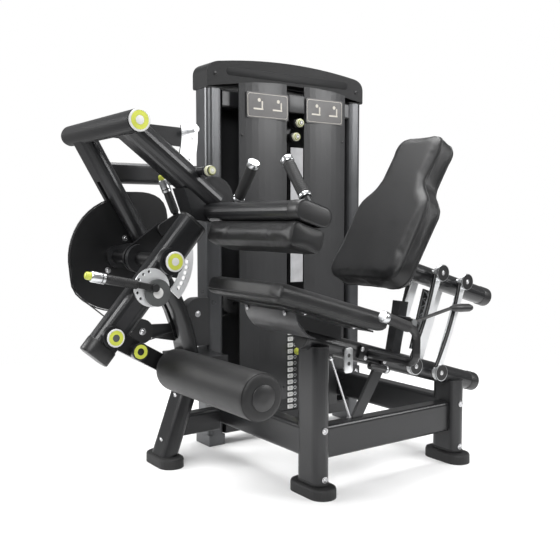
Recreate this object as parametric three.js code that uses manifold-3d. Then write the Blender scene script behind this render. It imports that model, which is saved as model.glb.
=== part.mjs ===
// A seated leg extension and leg curl machine with a weight tower, in millimetres, +Z up.
//
// Dimensions are worked out about the seat's middle plane: X = 0 is that plane, with +X to the
// sitter's left, Y = 0 is the front seat post with +Y towards the sitter's back, and Z = 0 is
// the floor. The last lines move the whole machine so that its footprint is centred on the origin.

import * as THREE from 'three';
import { mergeVertices } from 'three/addons/utils/BufferGeometryUtils.js';
import Module from 'manifold-3d';

const wasm = await Module();
wasm.setup();

// ---------------------------------------------------------------- driving dimensions

const FOOTPRINT_CENTRE = { x: -258.5, y: 79.7 };   // middle of the footprint, seen from the seat post
const GAP = 0.3;                               // clearance kept between pieces that touch

const OVAL_WIDE = 120;                         // flat oval frame tube, long side
const OVAL_THIN = 60;                          // flat oval frame tube, short side
const FOOT = { length: 184, width: 92, height: 36 };

const REAR_POST_Y = 627;
const LEG_X = -554;                            // outer leg
const LEG_FOOT_Y = -246;
const LEG_TOP = { y: -136, z: 332 };

const TOWER = { x0: -732, x1: -632, frontY0: -13, frontY1: 55.5, rearY0: 684, rearY1: 752 };
const COLUMN_TOP = 1372;
const CAP = { low: 1376, lowMiddle: 1412, high: 1497, shoulder: 1468 };
const SHROUD = { x0: -602, x1: -599, z1: 1420 };

const CABLE_X = -655;                          // plane of the cam, its cable and the weight stack
const CABLE_R = 2.5;
const STACK = { y: 380, halfX: 46, halfY: 125, z0: 100, pitch: 25.4, plate: 24.9 };
const RESTING_PLATES = 9;
const LIFTED_PLATES = 5;
const ROD_SPREAD = 100;                        // guide rod to the middle of the stack
const ROD_TOP = 1262;

const KNEE = { y: -381, z: 748 };              // axis of the movement arm and its cam
const SHAFT_R = 22;
const BEAM_ANGLE = THREE.MathUtils.degToRad(49.5);
const BEAM = { x0: -305, x1: -245, width: 100, low: -372, high: 160 };
const ARM_PIVOT = { y: -575, z: 527 };         // where the roller arm hangs on the movement arm
const ROLLER = { y: -370, z: 408, r: 70, bore: 13.5, x0: -252, x1: 262 };
const RANGE_PIVOT = { y: -282, z: 845 };       // pivot of the range lever on the shaft's arm
const LATCH = { y: -443, z: 669 };             // pivot of the start position lever
const SECTOR = { x0: -466, x1: -460, inner: 160, outer: 207, holes: 183 };

const THIGH = { y: -497, z: 1170, r: 35 };     // axis of the thigh pad arm
const THIGH_SLOPE = THREE.MathUtils.degToRad(-37.2);
const THIGH_SECTOR = { x0: -459, x1: -453, inner: 277, outer: 340, holes: 317 };
const PAD_TILT = THREE.MathUtils.degToRad(-17);
const THIGH_PAD = { y: -191, z: 827, wide: 126, thick: 78, x0: -238, x1: 222 };
const CROSS_TUBE = { wide: 120, tall: 60, x0: -300, x1: 206 };

const BEAM_SLOPE = Math.atan(0.294);           // seat beam drops this much towards the back
const SEAT_BEAM = { y: 388, z: 380, r: 33, y0: -48, y1: 755 };
const RELEASE = { y: 346, z: 536 };            // axis of the backrest's release lever
const LINK = { y: 125, z: 313 };               // every backrest link, from low pivot to high pivot
const LOW_PIVOTS = [{ y: 388, z: 380 }, { y: 513, z: 343.2 }];
const LINK_X0 = 46;
const LINK_X1 = 54;
const DISC_X1 = 68;
const PIN_R = 8;

const RECLINE = THREE.MathUtils.degToRad(31.3);
const BACK_FOOT = { y: 172, z: 685 };          // lower end of the backrest's front face
const BACK_LENGTH = 577;
const PAD_THICKNESS = 95;

// ---------------------------------------------------------------- materials

const paint = (color, roughness, metalness) => (
  new THREE.MeshStandardMaterial({ color, roughness, metalness })
);
const FRAME_GREY = paint(0x4a4c4e, 0.42, 0.55);
const COLUMN_GREY = paint(0x6b6d70, 0.4, 0.55);
const PANEL_GREY = paint(0x3f4144, 0.6, 0.1);
const BLACK_METAL = paint(0x1d1e1f, 0.45, 0.4);
const BLACK_PLASTIC = paint(0x17181a, 0.55, 0.0);
const RUBBER = paint(0x1b1c1d, 0.85, 0.0);
const LEATHER = paint(0x242527, 0.62, 0.0);
const CHROME = paint(0xd4d6d8, 0.12, 1.0);
const CAST_IRON = paint(0x2a2b2d, 0.6, 0.6);

// ---------------------------------------------------------------- geometry helpers

/** Closed solid of a three.js geometry, for joining and cutting. */
function solid(geometry) {
  const bare = geometry.clone();
  bare.deleteAttribute('normal');
  bare.deleteAttribute('uv');
  const merged = mergeVertices(bare, 1e-3);
  return new wasm.Manifold(new wasm.Mesh({
    numProp: 3,
    vertProperties: new Float32Array(merged.attributes.position.array),
    triVerts: new Uint32Array(merged.index.array),
  }));
}

/** three.js geometry of a closed solid. */
function geometryOf(body) {
  const mesh = body.getMesh();
  const geometry = new THREE.BufferGeometry();
  geometry.setAttribute('position', new THREE.BufferAttribute(mesh.vertProperties, 3));
  geometry.setIndex(new THREE.BufferAttribute(mesh.triVerts, 1));
  return geometry;
}

function join(first, ...others) {
  return geometryOf(others.reduce((sum, other) => sum.add(solid(other)), solid(first)));
}

function cut(first, ...tools) {
  return geometryOf(tools.reduce((rest, tool) => rest.subtract(solid(tool)), solid(first)));
}

function box(x0, x1, y0, y1, z0, z1) {
  const geometry = new THREE.BoxGeometry(x1 - x0, y1 - y0, z1 - z0);
  return geometry.translate((x0 + x1) / 2, (y0 + y1) / 2, (z0 + z1) / 2);
}

/** Outline of a rectangle with rounded corners, centred on the origin. */
function roundedRect(width, height, radius) {
  const shape = new THREE.Shape();
  const w = width / 2;
  const h = height / 2;
  const quarter = Math.PI / 2;
  shape.absarc(w - radius, h - radius, radius, 0, quarter);
  shape.absarc(-w + radius, h - radius, radius, quarter, 2 * quarter);
  shape.absarc(-w + radius, -h + radius, radius, 2 * quarter, 3 * quarter);
  shape.absarc(w - radius, -h + radius, radius, 3 * quarter, 4 * quarter);
  return shape;
}

/** Outline of a flat oval tube: two half circles joined by straight sides. */
function oval(wide, thin) {
  const shape = new THREE.Shape();
  const radius = thin / 2;
  const quarter = Math.PI / 2;
  shape.absarc(wide / 2 - radius, 0, radius, -quarter, quarter);
  shape.absarc(-wide / 2 + radius, 0, radius, quarter, 3 * quarter);
  return shape;
}

/** Straight prism of an outline from start to end; the outline's x axis lies along side. */
function bar(shape, start, end, side, curveSegments = 6, bevel = 0) {
  const direction = new THREE.Vector3().subVectors(end, start);
  const length = direction.length();
  direction.normalize();
  const options = { depth: length, bevelEnabled: false, curveSegments, steps: 1 };
  if (bevel > 0) {
    Object.assign(options, {
      depth: length - 2 * bevel,
      bevelEnabled: true,
      bevelThickness: bevel,
      bevelSize: bevel,
      bevelOffset: -bevel,
      bevelSegments: 3,
    });
  }
  const geometry = new THREE.ExtrudeGeometry(shape, options).translate(0, 0, bevel);
  const x = side.clone().addScaledVector(direction, -side.dot(direction)).normalize();
  const y = new THREE.Vector3().crossVectors(direction, x);
  const basis = new THREE.Matrix4().makeBasis(x, y, direction).setPosition(start);
  return geometry.applyMatrix4(basis);
}

const point = (x, y, z) => new THREE.Vector3(x, y, z);
const ALONG_X = point(1, 0, 0);
const ALONG_Y = point(0, 1, 0);

/** Flat plate: an outline drawn in (y, z), standing from x0 to x1. */
function plate(shape, x0, x1, curveSegments = 8) {
  const geometry = new THREE.ExtrudeGeometry(shape, { depth: x1 - x0, bevelEnabled: false, curveSegments });
  const basis = new THREE.Matrix4().makeBasis(point(0, 1, 0), point(0, 0, 1), ALONG_X);
  return geometry.applyMatrix4(basis).translate(x0, 0, 0);
}

/** Round bar along X. */
function rodX(r, x0, x1, at, segments = 28) {
  const geometry = new THREE.CylinderGeometry(r, r, x1 - x0, segments);
  return geometry.rotateZ(Math.PI / 2).translate((x0 + x1) / 2, at.y, at.z);
}

/** Round bar between two points. */
function rod(r, start, end, segments = 24) {
  const middle = new THREE.Vector3().addVectors(start, end).multiplyScalar(0.5);
  const direction = new THREE.Vector3().subVectors(end, start);
  const geometry = new THREE.CylinderGeometry(r, r, direction.length(), segments);
  const turn = new THREE.Quaternion().setFromUnitVectors(ALONG_Y, direction.normalize());
  return geometry.applyQuaternion(turn).translate(middle.x, middle.y, middle.z);
}

/** Solid of revolution about the line from start towards end; profile is [radius, distance]. */
function turned(profile, start, end, segments = 24) {
  const points = profile.map(([r, d]) => new THREE.Vector2(r, d));
  const direction = new THREE.Vector3().subVectors(end, start).normalize();
  const turn = new THREE.Quaternion().setFromUnitVectors(ALONG_Y, direction);
  return new THREE.LatheGeometry(points, segments).applyQuaternion(turn).translate(start.x, start.y, start.z);
}

/** Outline around two circles and the tangents between them, in (y, z). */
function strapOutline(a, ra, b, rb) {
  const distance = Math.hypot(b.y - a.y, b.z - a.z);
  const heading = Math.atan2(b.z - a.z, b.y - a.y);
  const spread = Math.acos((ra - rb) / distance);
  const shape = new THREE.Shape();
  shape.absarc(b.y, b.z, rb, heading - spread, heading + spread);
  shape.absarc(a.y, a.z, ra, heading + spread, heading - spread + 2 * Math.PI);
  return shape;
}

/** Outline of a ring's segment about centre, between two angles in degrees, in (y, z). */
function ringSegment(centre, inner, outer, from, to) {
  const a = THREE.MathUtils.degToRad(from);
  const b = THREE.MathUtils.degToRad(to);
  const shape = new THREE.Shape();
  shape.absarc(centre.y, centre.z, outer, a, b);
  shape.absarc(centre.y, centre.z, inner, b, a, true);
  return shape;
}

/** Point at a distance and angle in degrees from a centre, in (y, z). */
function polar(centre, radius, degrees) {
  const angle = THREE.MathUtils.degToRad(degrees);
  return { y: centre.y + radius * Math.cos(angle), z: centre.z + radius * Math.sin(angle) };
}

/** Outline through a list of (y, z) pairs. */
function outline(pairs) {
  return new THREE.Shape(pairs.map(([y, z]) => new THREE.Vector2(y, z)));
}

const onPlane = ({ y, z }, x = CABLE_X) => point(x, y, z);

/** Path through given points, with one step from each point to the next. */
class KnottedPath extends THREE.Curve {
  constructor(knots) {
    super();
    this.knots = knots;
  }

  getPointAt(u, target = new THREE.Vector3()) {
    return target.copy(this.knots[Math.round(u * (this.knots.length - 1))]);
  }

  getTangentAt(u, target = new THREE.Vector3()) {
    const last = this.knots.length - 1;
    const i = Math.round(u * last);
    const before = this.knots[Math.max(i - 1, 0)];
    const here = this.knots[i];
    const after = this.knots[Math.min(i + 1, last)];
    const into = new THREE.Vector3().subVectors(here, before).normalize();
    const out = new THREE.Vector3().subVectors(after, here).normalize();
    return target.addVectors(into, out).normalize();
  }
}

/** Outline swept along a path of knots; the outline's x axis stays level across the path. */
function sweep(section, knots, curveSegments) {
  const options = { steps: knots.length - 1, extrudePath: new KnottedPath(knots), curveSegments };
  return new THREE.ExtrudeGeometry(section, options);
}

function circle(radius) {
  return new THREE.Shape().absarc(0, 0, radius, 0, 2 * Math.PI);
}

/** Knots round an arc about a centre in (y, z), from one angle in degrees to another. */
function arcKnots(centre, radius, from, to, steps, x = CABLE_X) {
  return Array.from({ length: steps + 1 }, (_, i) => (
    onPlane(polar(centre, radius, THREE.MathUtils.lerp(from, to, i / steps)), x)
  ));
}

/** Knots of a rounded corner at a point, from one end of the curve to the other. */
function cornerKnots(from, corner, to, steps) {
  return new THREE.QuadraticBezierCurve3(from, corner, to).getPoints(steps);
}

const machine = new THREE.Group();

function add(name, geometry, material) {
  const mesh = new THREE.Mesh(geometry, material);
  mesh.name = name;
  machine.add(mesh);
}

// ---------------------------------------------------------------- seat frame

const seatBeamZ = (y) => SEAT_BEAM.z - Math.tan(BEAM_SLOPE) * (y - SEAT_BEAM.y);

function seatBeamTube(extra) {
  const start = point(0, SEAT_BEAM.y0, seatBeamZ(SEAT_BEAM.y0));
  return rod(SEAT_BEAM.r + extra, start, point(0, SEAT_BEAM.y1, seatBeamZ(SEAT_BEAM.y1)), 32);
}

function uprightPost(y, top) {
  const post = bar(oval(OVAL_WIDE, OVAL_THIN), point(0, y, FOOT.height + GAP), point(0, y, top), ALONG_X);
  return cut(post, seatBeamTube(GAP));
}

function foot(x, y) {
  const sole = oval(FOOT.length, FOOT.width);
  const geometry = new THREE.ExtrudeGeometry(sole, {
    depth: FOOT.height - 9,
    bevelEnabled: true,
    bevelThickness: 9,
    bevelSize: 8,
    bevelOffset: -8,
    bevelSegments: 2,
    curveSegments: 6,
  });
  const floorCut = box(x - 200, x + 200, y - 200, y + 200, -50, 0);
  return cut(geometry.translate(x, y, 0), floorCut);
}

function seatFrame() {
  add('front_seat_post', uprightPost(0, 482), FRAME_GREY);
  add('rear_seat_post', uprightPost(REAR_POST_Y, 300), FRAME_GREY);
  add('front_post_foot', foot(0, 0), RUBBER);
  add('rear_post_foot', foot(0, REAR_POST_Y), RUBBER);
  add('outer_leg_foot', foot(LEG_X, LEG_FOOT_Y), RUBBER);

  const half = OVAL_THIN / 2 + GAP;
  const member = roundedRect(OVAL_THIN, 108, 12);
  const low = point(0, half, 166);
  add('seat_cross_member', bar(member, low, point(0, REAR_POST_Y - half, 166), ALONG_X, 2), FRAME_GREY);
}

function seatBeam() {
  const tube = seatBeamTube(0);
  const slopeAt = (y, rise) => [y, seatBeamZ(y) + rise];
  const pan = plate(outline([
    slopeAt(-232, 69), slopeAt(118, 69), slopeAt(118, 74.3), slopeAt(-232, 74.3),
  ]), -150, 150);
  const riser = plate(outline([
    slopeAt(-44, 20), slopeAt(96, 20), slopeAt(96, 70), slopeAt(-110, 70),
  ]), -22, 22);
  const brace = plate(outline([[268, 395], [312, 385], [203, 220 + GAP], [159, 220 + GAP]]), -6, 6);
  const lockPost = plate(outline([[326, 415], [364, 405], [402, 594], [364, 600]]), -20, 14);
  const lockBoss = rodX(16, -75, 75, RELEASE, 20);
  const body = join(tube, pan, riser, brace, lockPost, lockBoss);
  const pinHoles = LOW_PIVOTS.map((pivot) => rodX(PIN_R + 0.8, -80, 80, pivot, 16));
  return cut(body, ...pinHoles);
}

function seatPad() {
  const shape = roundedRect(420, 57, 22);
  const along = point(0, Math.cos(BEAM_SLOPE), -Math.sin(BEAM_SLOPE));
  const inset = 28.5;
  const start = point(0, -268 - inset * Math.sin(BEAM_SLOPE), 707 - inset * Math.cos(BEAM_SLOPE));
  const end = start.clone().addScaledVector(along, 436);
  return bar(shape, start, end, ALONG_X, 2, 8);
}

/** Curved sheet that closes the seat's front below the pad. */
function seatGuard() {
  const shape = new THREE.Shape();
  const centre = { y: -84, z: 626 };
  const from = Math.PI * 1.045;
  const to = Math.PI * 1.42;
  shape.absarc(centre.y, centre.z, 102, from, to);
  shape.absarc(centre.y, centre.z, 98, to, from, true);
  return plate(shape, -118, 150, 10);
}

/** Bent tube from the seat beam out to the side, up, and forward under the hand. */
function sideHandle(side) {
  const out = side * 250;
  const corner = 34;
  const tube = sweep(circle(13), [
    point(side * 10, 204, 436),
    ...cornerKnots(point(out - side * corner, 204, 436), point(out, 204, 436), point(out, 204, 470), 5),
    ...cornerKnots(point(out, 204, 512), point(out, 204, 539), point(out, 176, 550), 4),
    point(out, 66, 592),
  ], 6);
  return cut(tube, seatBeamTube(GAP));
}

// ---------------------------------------------------------------- base and outer leg

function outerLeg() {
  const slope = (LEG_TOP.y - LEG_FOOT_Y) / (LEG_TOP.z - FOOT.height);
  const below = 60;
  const above = 40;
  const start = point(LEG_X, LEG_FOOT_Y - slope * below, FOOT.height - below);
  const end = point(LEG_X, LEG_TOP.y + slope * above, LEG_TOP.z + above);
  const leg = bar(oval(OVAL_WIDE, OVAL_THIN), start, end, ALONG_X);
  const floorCut = box(LEG_X - 200, LEG_X + 200, -500, 200, -200, FOOT.height + GAP);
  const tieBlock = box(-713, -494, -170, TOWER.frontY0 - GAP, LEG_TOP.z, LEG_TOP.z + 48);
  const above380 = box(LEG_X - 200, LEG_X + 200, -500, 200, LEG_TOP.z + 47, LEG_TOP.z + 300);
  return join(cut(leg, floorCut, above380), tieBlock);
}

function legSideBeam() {
  const shape = roundedRect(OVAL_THIN, 78, 10);
  const z = 134;
  const beam = bar(shape, point(LEG_X, -236, z), point(LEG_X, -OVAL_THIN / 2 - GAP, z), ALONG_X, 2);
  const slope = (LEG_TOP.y - LEG_FOOT_Y) / (LEG_TOP.z - FOOT.height);
  const start = point(LEG_X, LEG_FOOT_Y - slope * FOOT.height, 0);
  const end = point(LEG_X, LEG_TOP.y, LEG_TOP.z);
  const leg = bar(oval(OVAL_WIDE + 2 * GAP, OVAL_THIN + 2 * GAP), start, end, ALONG_X);
  const ahead = outline([[-400, 0], [-246, 0], [-150, 332], [-400, 332]]);
  return cut(beam, leg, plate(ahead, LEG_X - 100, LEG_X + 100));
}

function crossBeam(y, zLow, zHigh, endX) {
  const shape = roundedRect(OVAL_THIN, zHigh - zLow, 12);
  const z = (zLow + zHigh) / 2;
  const beam = bar(shape, point(-30, y, z), point(endX + GAP, y, z), ALONG_Y, 2);
  const postShape = oval(OVAL_WIDE + 2 * GAP, OVAL_THIN + 2 * GAP);
  return cut(beam, bar(postShape, point(0, y, 0), point(0, y, 400), ALONG_X));
}

function rearCrossBeam() {
  const flange = box(TOWER.x1 + GAP, TOWER.x1 + 10, REAR_POST_Y - 30, TOWER.rearY1 - 8, 128, 238);
  return join(crossBeam(REAR_POST_Y, 130, 235, TOWER.x1 + 5), flange);
}

function base() {
  add('outer_leg', outerLeg(), FRAME_GREY);
  add('leg_side_beam', legSideBeam(), FRAME_GREY);
  add('front_cross_beam', crossBeam(0, 119, 220, TOWER.x1), FRAME_GREY);
  add('rear_cross_beam', rearCrossBeam(), FRAME_GREY);
}

// ---------------------------------------------------------------- weight tower

const towerMiddleX = (TOWER.x0 + TOWER.x1) / 2;

/** Box column, rounded on its outer edges, standing on a box foot. */
function column(y0, y1) {
  const shape = roundedRect(TOWER.x1 - TOWER.x0, y1 - y0, 20);
  const y = (y0 + y1) / 2;
  const tube = bar(shape, point(towerMiddleX, y, 20), point(towerMiddleX, y, COLUMN_TOP), ALONG_X, 2);
  const shoe = box(TOWER.x0 - 2, TOWER.x1, y0 - 1, y1 + 1, 0, 42);
  return join(tube, shoe);
}

function towerCap() {
  const y0 = TOWER.frontY0 - 3;
  const y1 = TOWER.rearY1 + 3;
  const middle = (y0 + y1) / 2;
  const shape = new THREE.Shape();
  shape.moveTo(y0, CAP.low);
  shape.quadraticCurveTo(middle, 2 * CAP.lowMiddle - CAP.low, y1, CAP.low);
  shape.lineTo(y1, CAP.shoulder - 44);
  shape.quadraticCurveTo(y1, CAP.shoulder, y1 - 60, CAP.shoulder + 6);
  shape.quadraticCurveTo(middle, 2 * CAP.high - CAP.shoulder - 6, y0 + 60, CAP.shoulder + 6);
  shape.quadraticCurveTo(y0, CAP.shoulder, y0, CAP.shoulder - 44);
  const body = plate(shape, TOWER.x0 - 4, TOWER.x1 + 4, 14);
  const columnTops = [
    box(TOWER.x0 - GAP, TOWER.x1 + GAP, TOWER.frontY0 - GAP, TOWER.frontY1 + GAP, 1300, COLUMN_TOP + GAP),
    box(TOWER.x0 - GAP, TOWER.x1 + GAP, TOWER.rearY0 - GAP, TOWER.rearY1 + GAP, 1300, COLUMN_TOP + GAP),
  ];
  return cut(body, ...columnTops);
}

/** Everything above the cap's curved lower edge and 1 mm below it. */
function aboveCapEdge() {
  const y0 = TOWER.frontY0 - 3;
  const y1 = TOWER.rearY1 + 3;
  const low = CAP.low - 1;
  const shape = new THREE.Shape();
  shape.moveTo(y0, low);
  shape.quadraticCurveTo((y0 + y1) / 2, 2 * CAP.lowMiddle - CAP.low - 1, y1, low);
  shape.lineTo(y1, CAP.high);
  shape.lineTo(y0, CAP.high);
  return plate(shape, -700, -500);
}

/** Upright panel, slightly bowed outwards, with its edges folded back. */
function shroud(y0, y1, z0) {
  const shape = new THREE.Shape();
  const middle = (y0 + y1) / 2;
  const bow = 9;
  const fold = 6;
  const sheet = SHROUD.x1 - SHROUD.x0;
  const x = SHROUD.x0;
  shape.moveTo(x - fold, y0);
  shape.lineTo(x, y0);
  shape.quadraticCurveTo(x + 2 * bow, middle, x, y1);
  shape.lineTo(x - fold, y1);
  shape.lineTo(x - fold, y1 - sheet);
  shape.lineTo(x - sheet, y1 - sheet);
  shape.quadraticCurveTo(x + 2 * bow - sheet, middle, x - sheet, y0 + sheet);
  shape.lineTo(x - fold, y0 + sheet);
  const options = { depth: SHROUD.z1 - z0, bevelEnabled: false, curveSegments: 8 };
  const panel = new THREE.ExtrudeGeometry(shape, options);
  const beamNotch = box(-700, -500, REAR_POST_Y - 32, REAR_POST_Y + 60, 0, 240);
  return cut(panel.translate(0, 0, z0), beamNotch, aboveCapEdge());
}

/** Stack of plates on one core, bored for the guide rods and for the selector stem. */
function plateStack(first, count, stemBore) {
  const { y, halfX, halfY, pitch } = STACK;
  const z0 = STACK.z0 + first * pitch;
  const slabs = [];
  for (let i = 0; i < count; i += 1) {
    const z = z0 + i * pitch;
    slabs.push(box(CABLE_X - halfX, CABLE_X + halfX, y - halfY, y + halfY, z, z + STACK.plate));
  }
  const top = z0 + (count - 1) * pitch + STACK.plate;
  const core = box(CABLE_X - 30, CABLE_X + 30, y - 112, y + 112, z0, top);
  const bores = [-ROD_SPREAD, ROD_SPREAD].map((offset) => {
    const at = point(CABLE_X, y + offset, z0 - 5);
    return rod(11, at, point(CABLE_X, y + offset, top + 5), 12);
  });
  bores.push(rod(stemBore, point(CABLE_X, y, z0 - 5), point(CABLE_X, y, top + 5), 12));
  return cut(join(...slabs, core), ...bores);
}

const liftedTop = STACK.z0 + (RESTING_PLATES + LIFTED_PLATES) * STACK.pitch;
const pinZ = STACK.z0 + RESTING_PLATES * STACK.pitch + STACK.plate / 2;

function liftedPlates() {
  const stack = plateStack(RESTING_PLATES, LIFTED_PLATES, 12.5);
  return cut(stack, rodX(5.2, CABLE_X, CABLE_X + 80, { y: STACK.y, z: pinZ }, 12));
}

/** Head plate with the stem that hangs down through the stack. */
function headPlate() {
  const { y, halfX, halfY, z0 } = STACK;
  const z = liftedTop + GAP;
  const block = box(CABLE_X - halfX, CABLE_X + halfX, y - halfY, y + halfY, z, z + 38);
  const stem = rod(11, point(CABLE_X, y, z0 + 8), point(CABLE_X, y, z + 76), 16);
  const bores = [-ROD_SPREAD, ROD_SPREAD].map((offset) => (
    rod(11, point(CABLE_X, y + offset, z - 5), point(CABLE_X, y + offset, z + 60), 12)
  ));
  return cut(join(block, stem), ...bores);
}

function selectorPin() {
  const profile = [[0, 0], [4.2, 0], [4.2, 40], [12, 46], [13, 62], [9, 71], [0, 72]];
  const tip = point(CABLE_X + 12, STACK.y, pinZ);
  return turned(profile, tip, point(0, STACK.y, pinZ), 12);
}

/** Small extra weight parked near the top of the slot, with its pull knob. */
function addOnWeight(y, z) {
  const profile = [[0, 0], [17, 0], [17, 34], [9, 36], [9, 46], [14, 50], [12, 64], [0, 65]];
  return turned(profile, point(SHROUD.x0 - 34, y, z), point(0, y, z), 16);
}

function tower() {
  const cableSlot = box(CABLE_X - 8, CABLE_X + 8, TOWER.frontY0 - 5, TOWER.frontY1 + 5, 455, 530);
  add('tower_front_column', cut(column(TOWER.frontY0, TOWER.frontY1), cableSlot), COLUMN_GREY);
  add('tower_rear_column', column(TOWER.rearY0, TOWER.rearY1), COLUMN_GREY);

  const between = [TOWER.frontY1 + GAP, TOWER.rearY0 - GAP];
  const beamShape = roundedRect(84, 55, 8);
  const beamX = CABLE_X - 8;
  const low = bar(beamShape, point(beamX, between[0], 72), point(beamX, between[1], 72), ALONG_X, 2);
  add('tower_base_beam', low, FRAME_GREY);
  const topShape = roundedRect(70, 66, 8);
  const topX = beamX - 8;
  const high = bar(topShape, point(topX, between[0], 1337), point(topX, between[1], 1337), ALONG_X, 2);
  const hangers = [-ROD_SPREAD, ROD_SPREAD].flatMap((offset) => {
    const y = STACK.y + offset;
    return [
      box(beamX - 43, beamX - 36, y - 12, y + 12, ROD_TOP, 1310),
      box(beamX - 43, CABLE_X + 14, y - 12, y + 12, ROD_TOP, ROD_TOP + 8),
    ];
  });
  add('tower_top_beam', join(high, ...hangers), FRAME_GREY);

  add('tower_cap', towerCap(), BLACK_METAL);
  add('front_shroud', shroud(108, 333, 150), PANEL_GREY);
  add('rear_shroud', shroud(420, 634, 96), PANEL_GREY);
  const backShape = roundedRect(TOWER.rearY0 - TOWER.frontY1 - 8, 1270, 6);
  const back = new THREE.ExtrudeGeometry(backShape, { depth: 3, bevelEnabled: false, curveSegments: 2 });
  const basis = new THREE.Matrix4().makeBasis(ALONG_Y, point(0, 0, 1), ALONG_X);
  const backY = (TOWER.frontY1 + TOWER.rearY0) / 2;
  add('back_cover', back.applyMatrix4(basis).translate(TOWER.x0 - 1, backY, 740), PANEL_GREY);

  for (const [name, offset] of [['guide_rod_front', -ROD_SPREAD], ['guide_rod_rear', ROD_SPREAD]]) {
    const y = STACK.y + offset;
    add(name, rod(10, point(CABLE_X, y, 99.5 + GAP), point(CABLE_X, y, ROD_TOP - GAP), 16), CHROME);
  }

  add('resting_plates', plateStack(0, RESTING_PLATES, 12.5), CAST_IRON);
  add('lifted_plates', liftedPlates(), CAST_IRON);
  add('head_plate', headPlate(), CAST_IRON);
  add('selector_pin', selectorPin(), BLACK_PLASTIC);
  add('add_on_weight_upper', addOnWeight(384, 1262), BLACK_METAL);
  add('add_on_weight_lower', addOnWeight(366, 1206), BLACK_METAL);
}

// ---------------------------------------------------------------- inclined post and its strut

const POST = { bend: { y: -118, z: 505 }, foot: { y: -92, z: LEG_TOP.z + 48 + GAP } };

/** Flat oval tube from the thigh axis down to the tie block, made larger all round by extra. */
function postTube(extra) {
  const top = point(CABLE_X, THIGH.y, THIGH.z);
  const bend = point(CABLE_X, POST.bend.y, POST.bend.z);
  const straight = new THREE.Vector3().lerpVectors(top, bend, 0.86);
  const end = point(CABLE_X, POST.foot.y, POST.foot.z - 30);
  const section = oval(OVAL_WIDE + 2 * extra, OVAL_THIN + 2 * extra);
  return sweep(section, [top, ...cornerKnots(straight, bend, end, 4)], 6);
}

/** The post, slotted where the cam turns, with the plates that carry the knee shaft. */
function inclinedPost() {
  const tube = postTube(0);
  const bearingOutline = strapOutline(KNEE, 40, { y: -268, z: 758 }, 44);
  const nearPlate = plate(bearingOutline, CABLE_X + 14, CABLE_X + 26, 6);
  const farPlate = plate(bearingOutline, CABLE_X - 26, CABLE_X - 14, 6);
  const armOutline = strapOutline({ y: -284, z: 472 }, 20, { y: -120, z: 452 }, 34);
  const idlerArm = plate(armOutline, CABLE_X - 34, CABLE_X - 20);
  const idlerPin = rodX(7.2, CABLE_X - 24, CABLE_X + 12, IDLER, 16);
  const body = join(tube, nearPlate, farPlate, idlerArm, idlerPin);

  const slotOutline = strapOutline({ y: -388, z: 962 }, 70, { y: -125, z: 502 }, 70);
  const camSlot = plate(slotOutline, CABLE_X - 13, CABLE_X + 13, 4);
  const crown = rodX(THIGH.r + GAP, -800, -400, THIGH, 40);
  const shaftBore = rodX(SHAFT_R + 0.8, -800, -500, KNEE, 32);
  const ground = box(-800, -500, -300, 100, 200, POST.foot.z);
  return cut(body, camSlot, crown, aboveCrown(), shaftBore, ground);
}

/** Everything that lies beyond the axis of the thigh tube, seen along the post. */
function aboveCrown() {
  return box(-800, -500, -700, -380, THIGH.z, THIGH.z + 200);
}

function strut() {
  const shape = roundedRect(OVAL_THIN, 73, 14);
  const z = 1042;
  const beam = bar(shape, point(-675, -440, z), point(-675, TOWER.frontY0 - GAP, z), ALONG_X, 2);
  const ahead = outline([[-900, 1200], [-514, 1200], [-380, 948], [-900, 948]]);
  return cut(beam, postTube(GAP), plate(ahead, -800, -500));
}

// ---------------------------------------------------------------- cam, shaft and cable

const CAM_ARC = 190;                           // radius of the cam where the cable leaves it

/** Outline of the cam about the knee axis: radius for an angle in degrees. */
function camRadius(degrees) {
  const smooth = THREE.MathUtils.smoothstep;
  if (degrees < 20) return THREE.MathUtils.lerp(CAM_ARC, 224, smooth(degrees, -50, 20));
  if (degrees < 83) return 224 + 47 * smooth(degrees, 20, 48) - 40 * smooth(degrees, 48, 83);
  const wrapped = THREE.MathUtils.degToRad(degrees + 7.6);
  const sag = 45 * Math.sin(wrapped);
  const eccentric = 45 * Math.cos(wrapped) + Math.sqrt(211 * 211 - sag * sag);
  return THREE.MathUtils.lerp(eccentric, CAM_ARC, smooth(degrees, 195, 222));
}

function camDisc() {
  const points = [];
  for (let degrees = -50; degrees < 310; degrees += 5) {
    const { y, z } = polar(KNEE, camRadius(degrees), degrees);
    points.push(new THREE.Vector2(y, z));
  }
  const disc = plate(new THREE.Shape(points), CABLE_X - 7, CABLE_X + 7);
  const hub = rodX(40, CABLE_X + 6, CABLE_X + 12, KNEE, 28);
  return cut(join(disc, hub), rodX(SHAFT_R + GAP, -800, -500, KNEE, 32));
}

const IDLER = { y: -285, z: 472, r: 40 };
const LOWER_PULLEY = { y: 110, z: 553, r: 40 };
const TOP_PULLEY_Z = 1250;
const TOP_PULLEYS = [{ y: 190, z: TOP_PULLEY_Z, r: 40 }, { y: STACK.y - 40, z: TOP_PULLEY_Z, r: 40 }];

/** Grooved cable pulley on its own axis. */
function pulley({ y, z, r }) {
  const rim = r + 5;
  const floor = r - CABLE_R - 1;
  const profile = [[8, -9], [rim, -9], [floor, -3.2], [floor, 3.2], [rim, 9], [8, 9], [8, -9]];
  return turned(profile, point(CABLE_X, y, z), point(0, y, z), 22);
}

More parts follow.
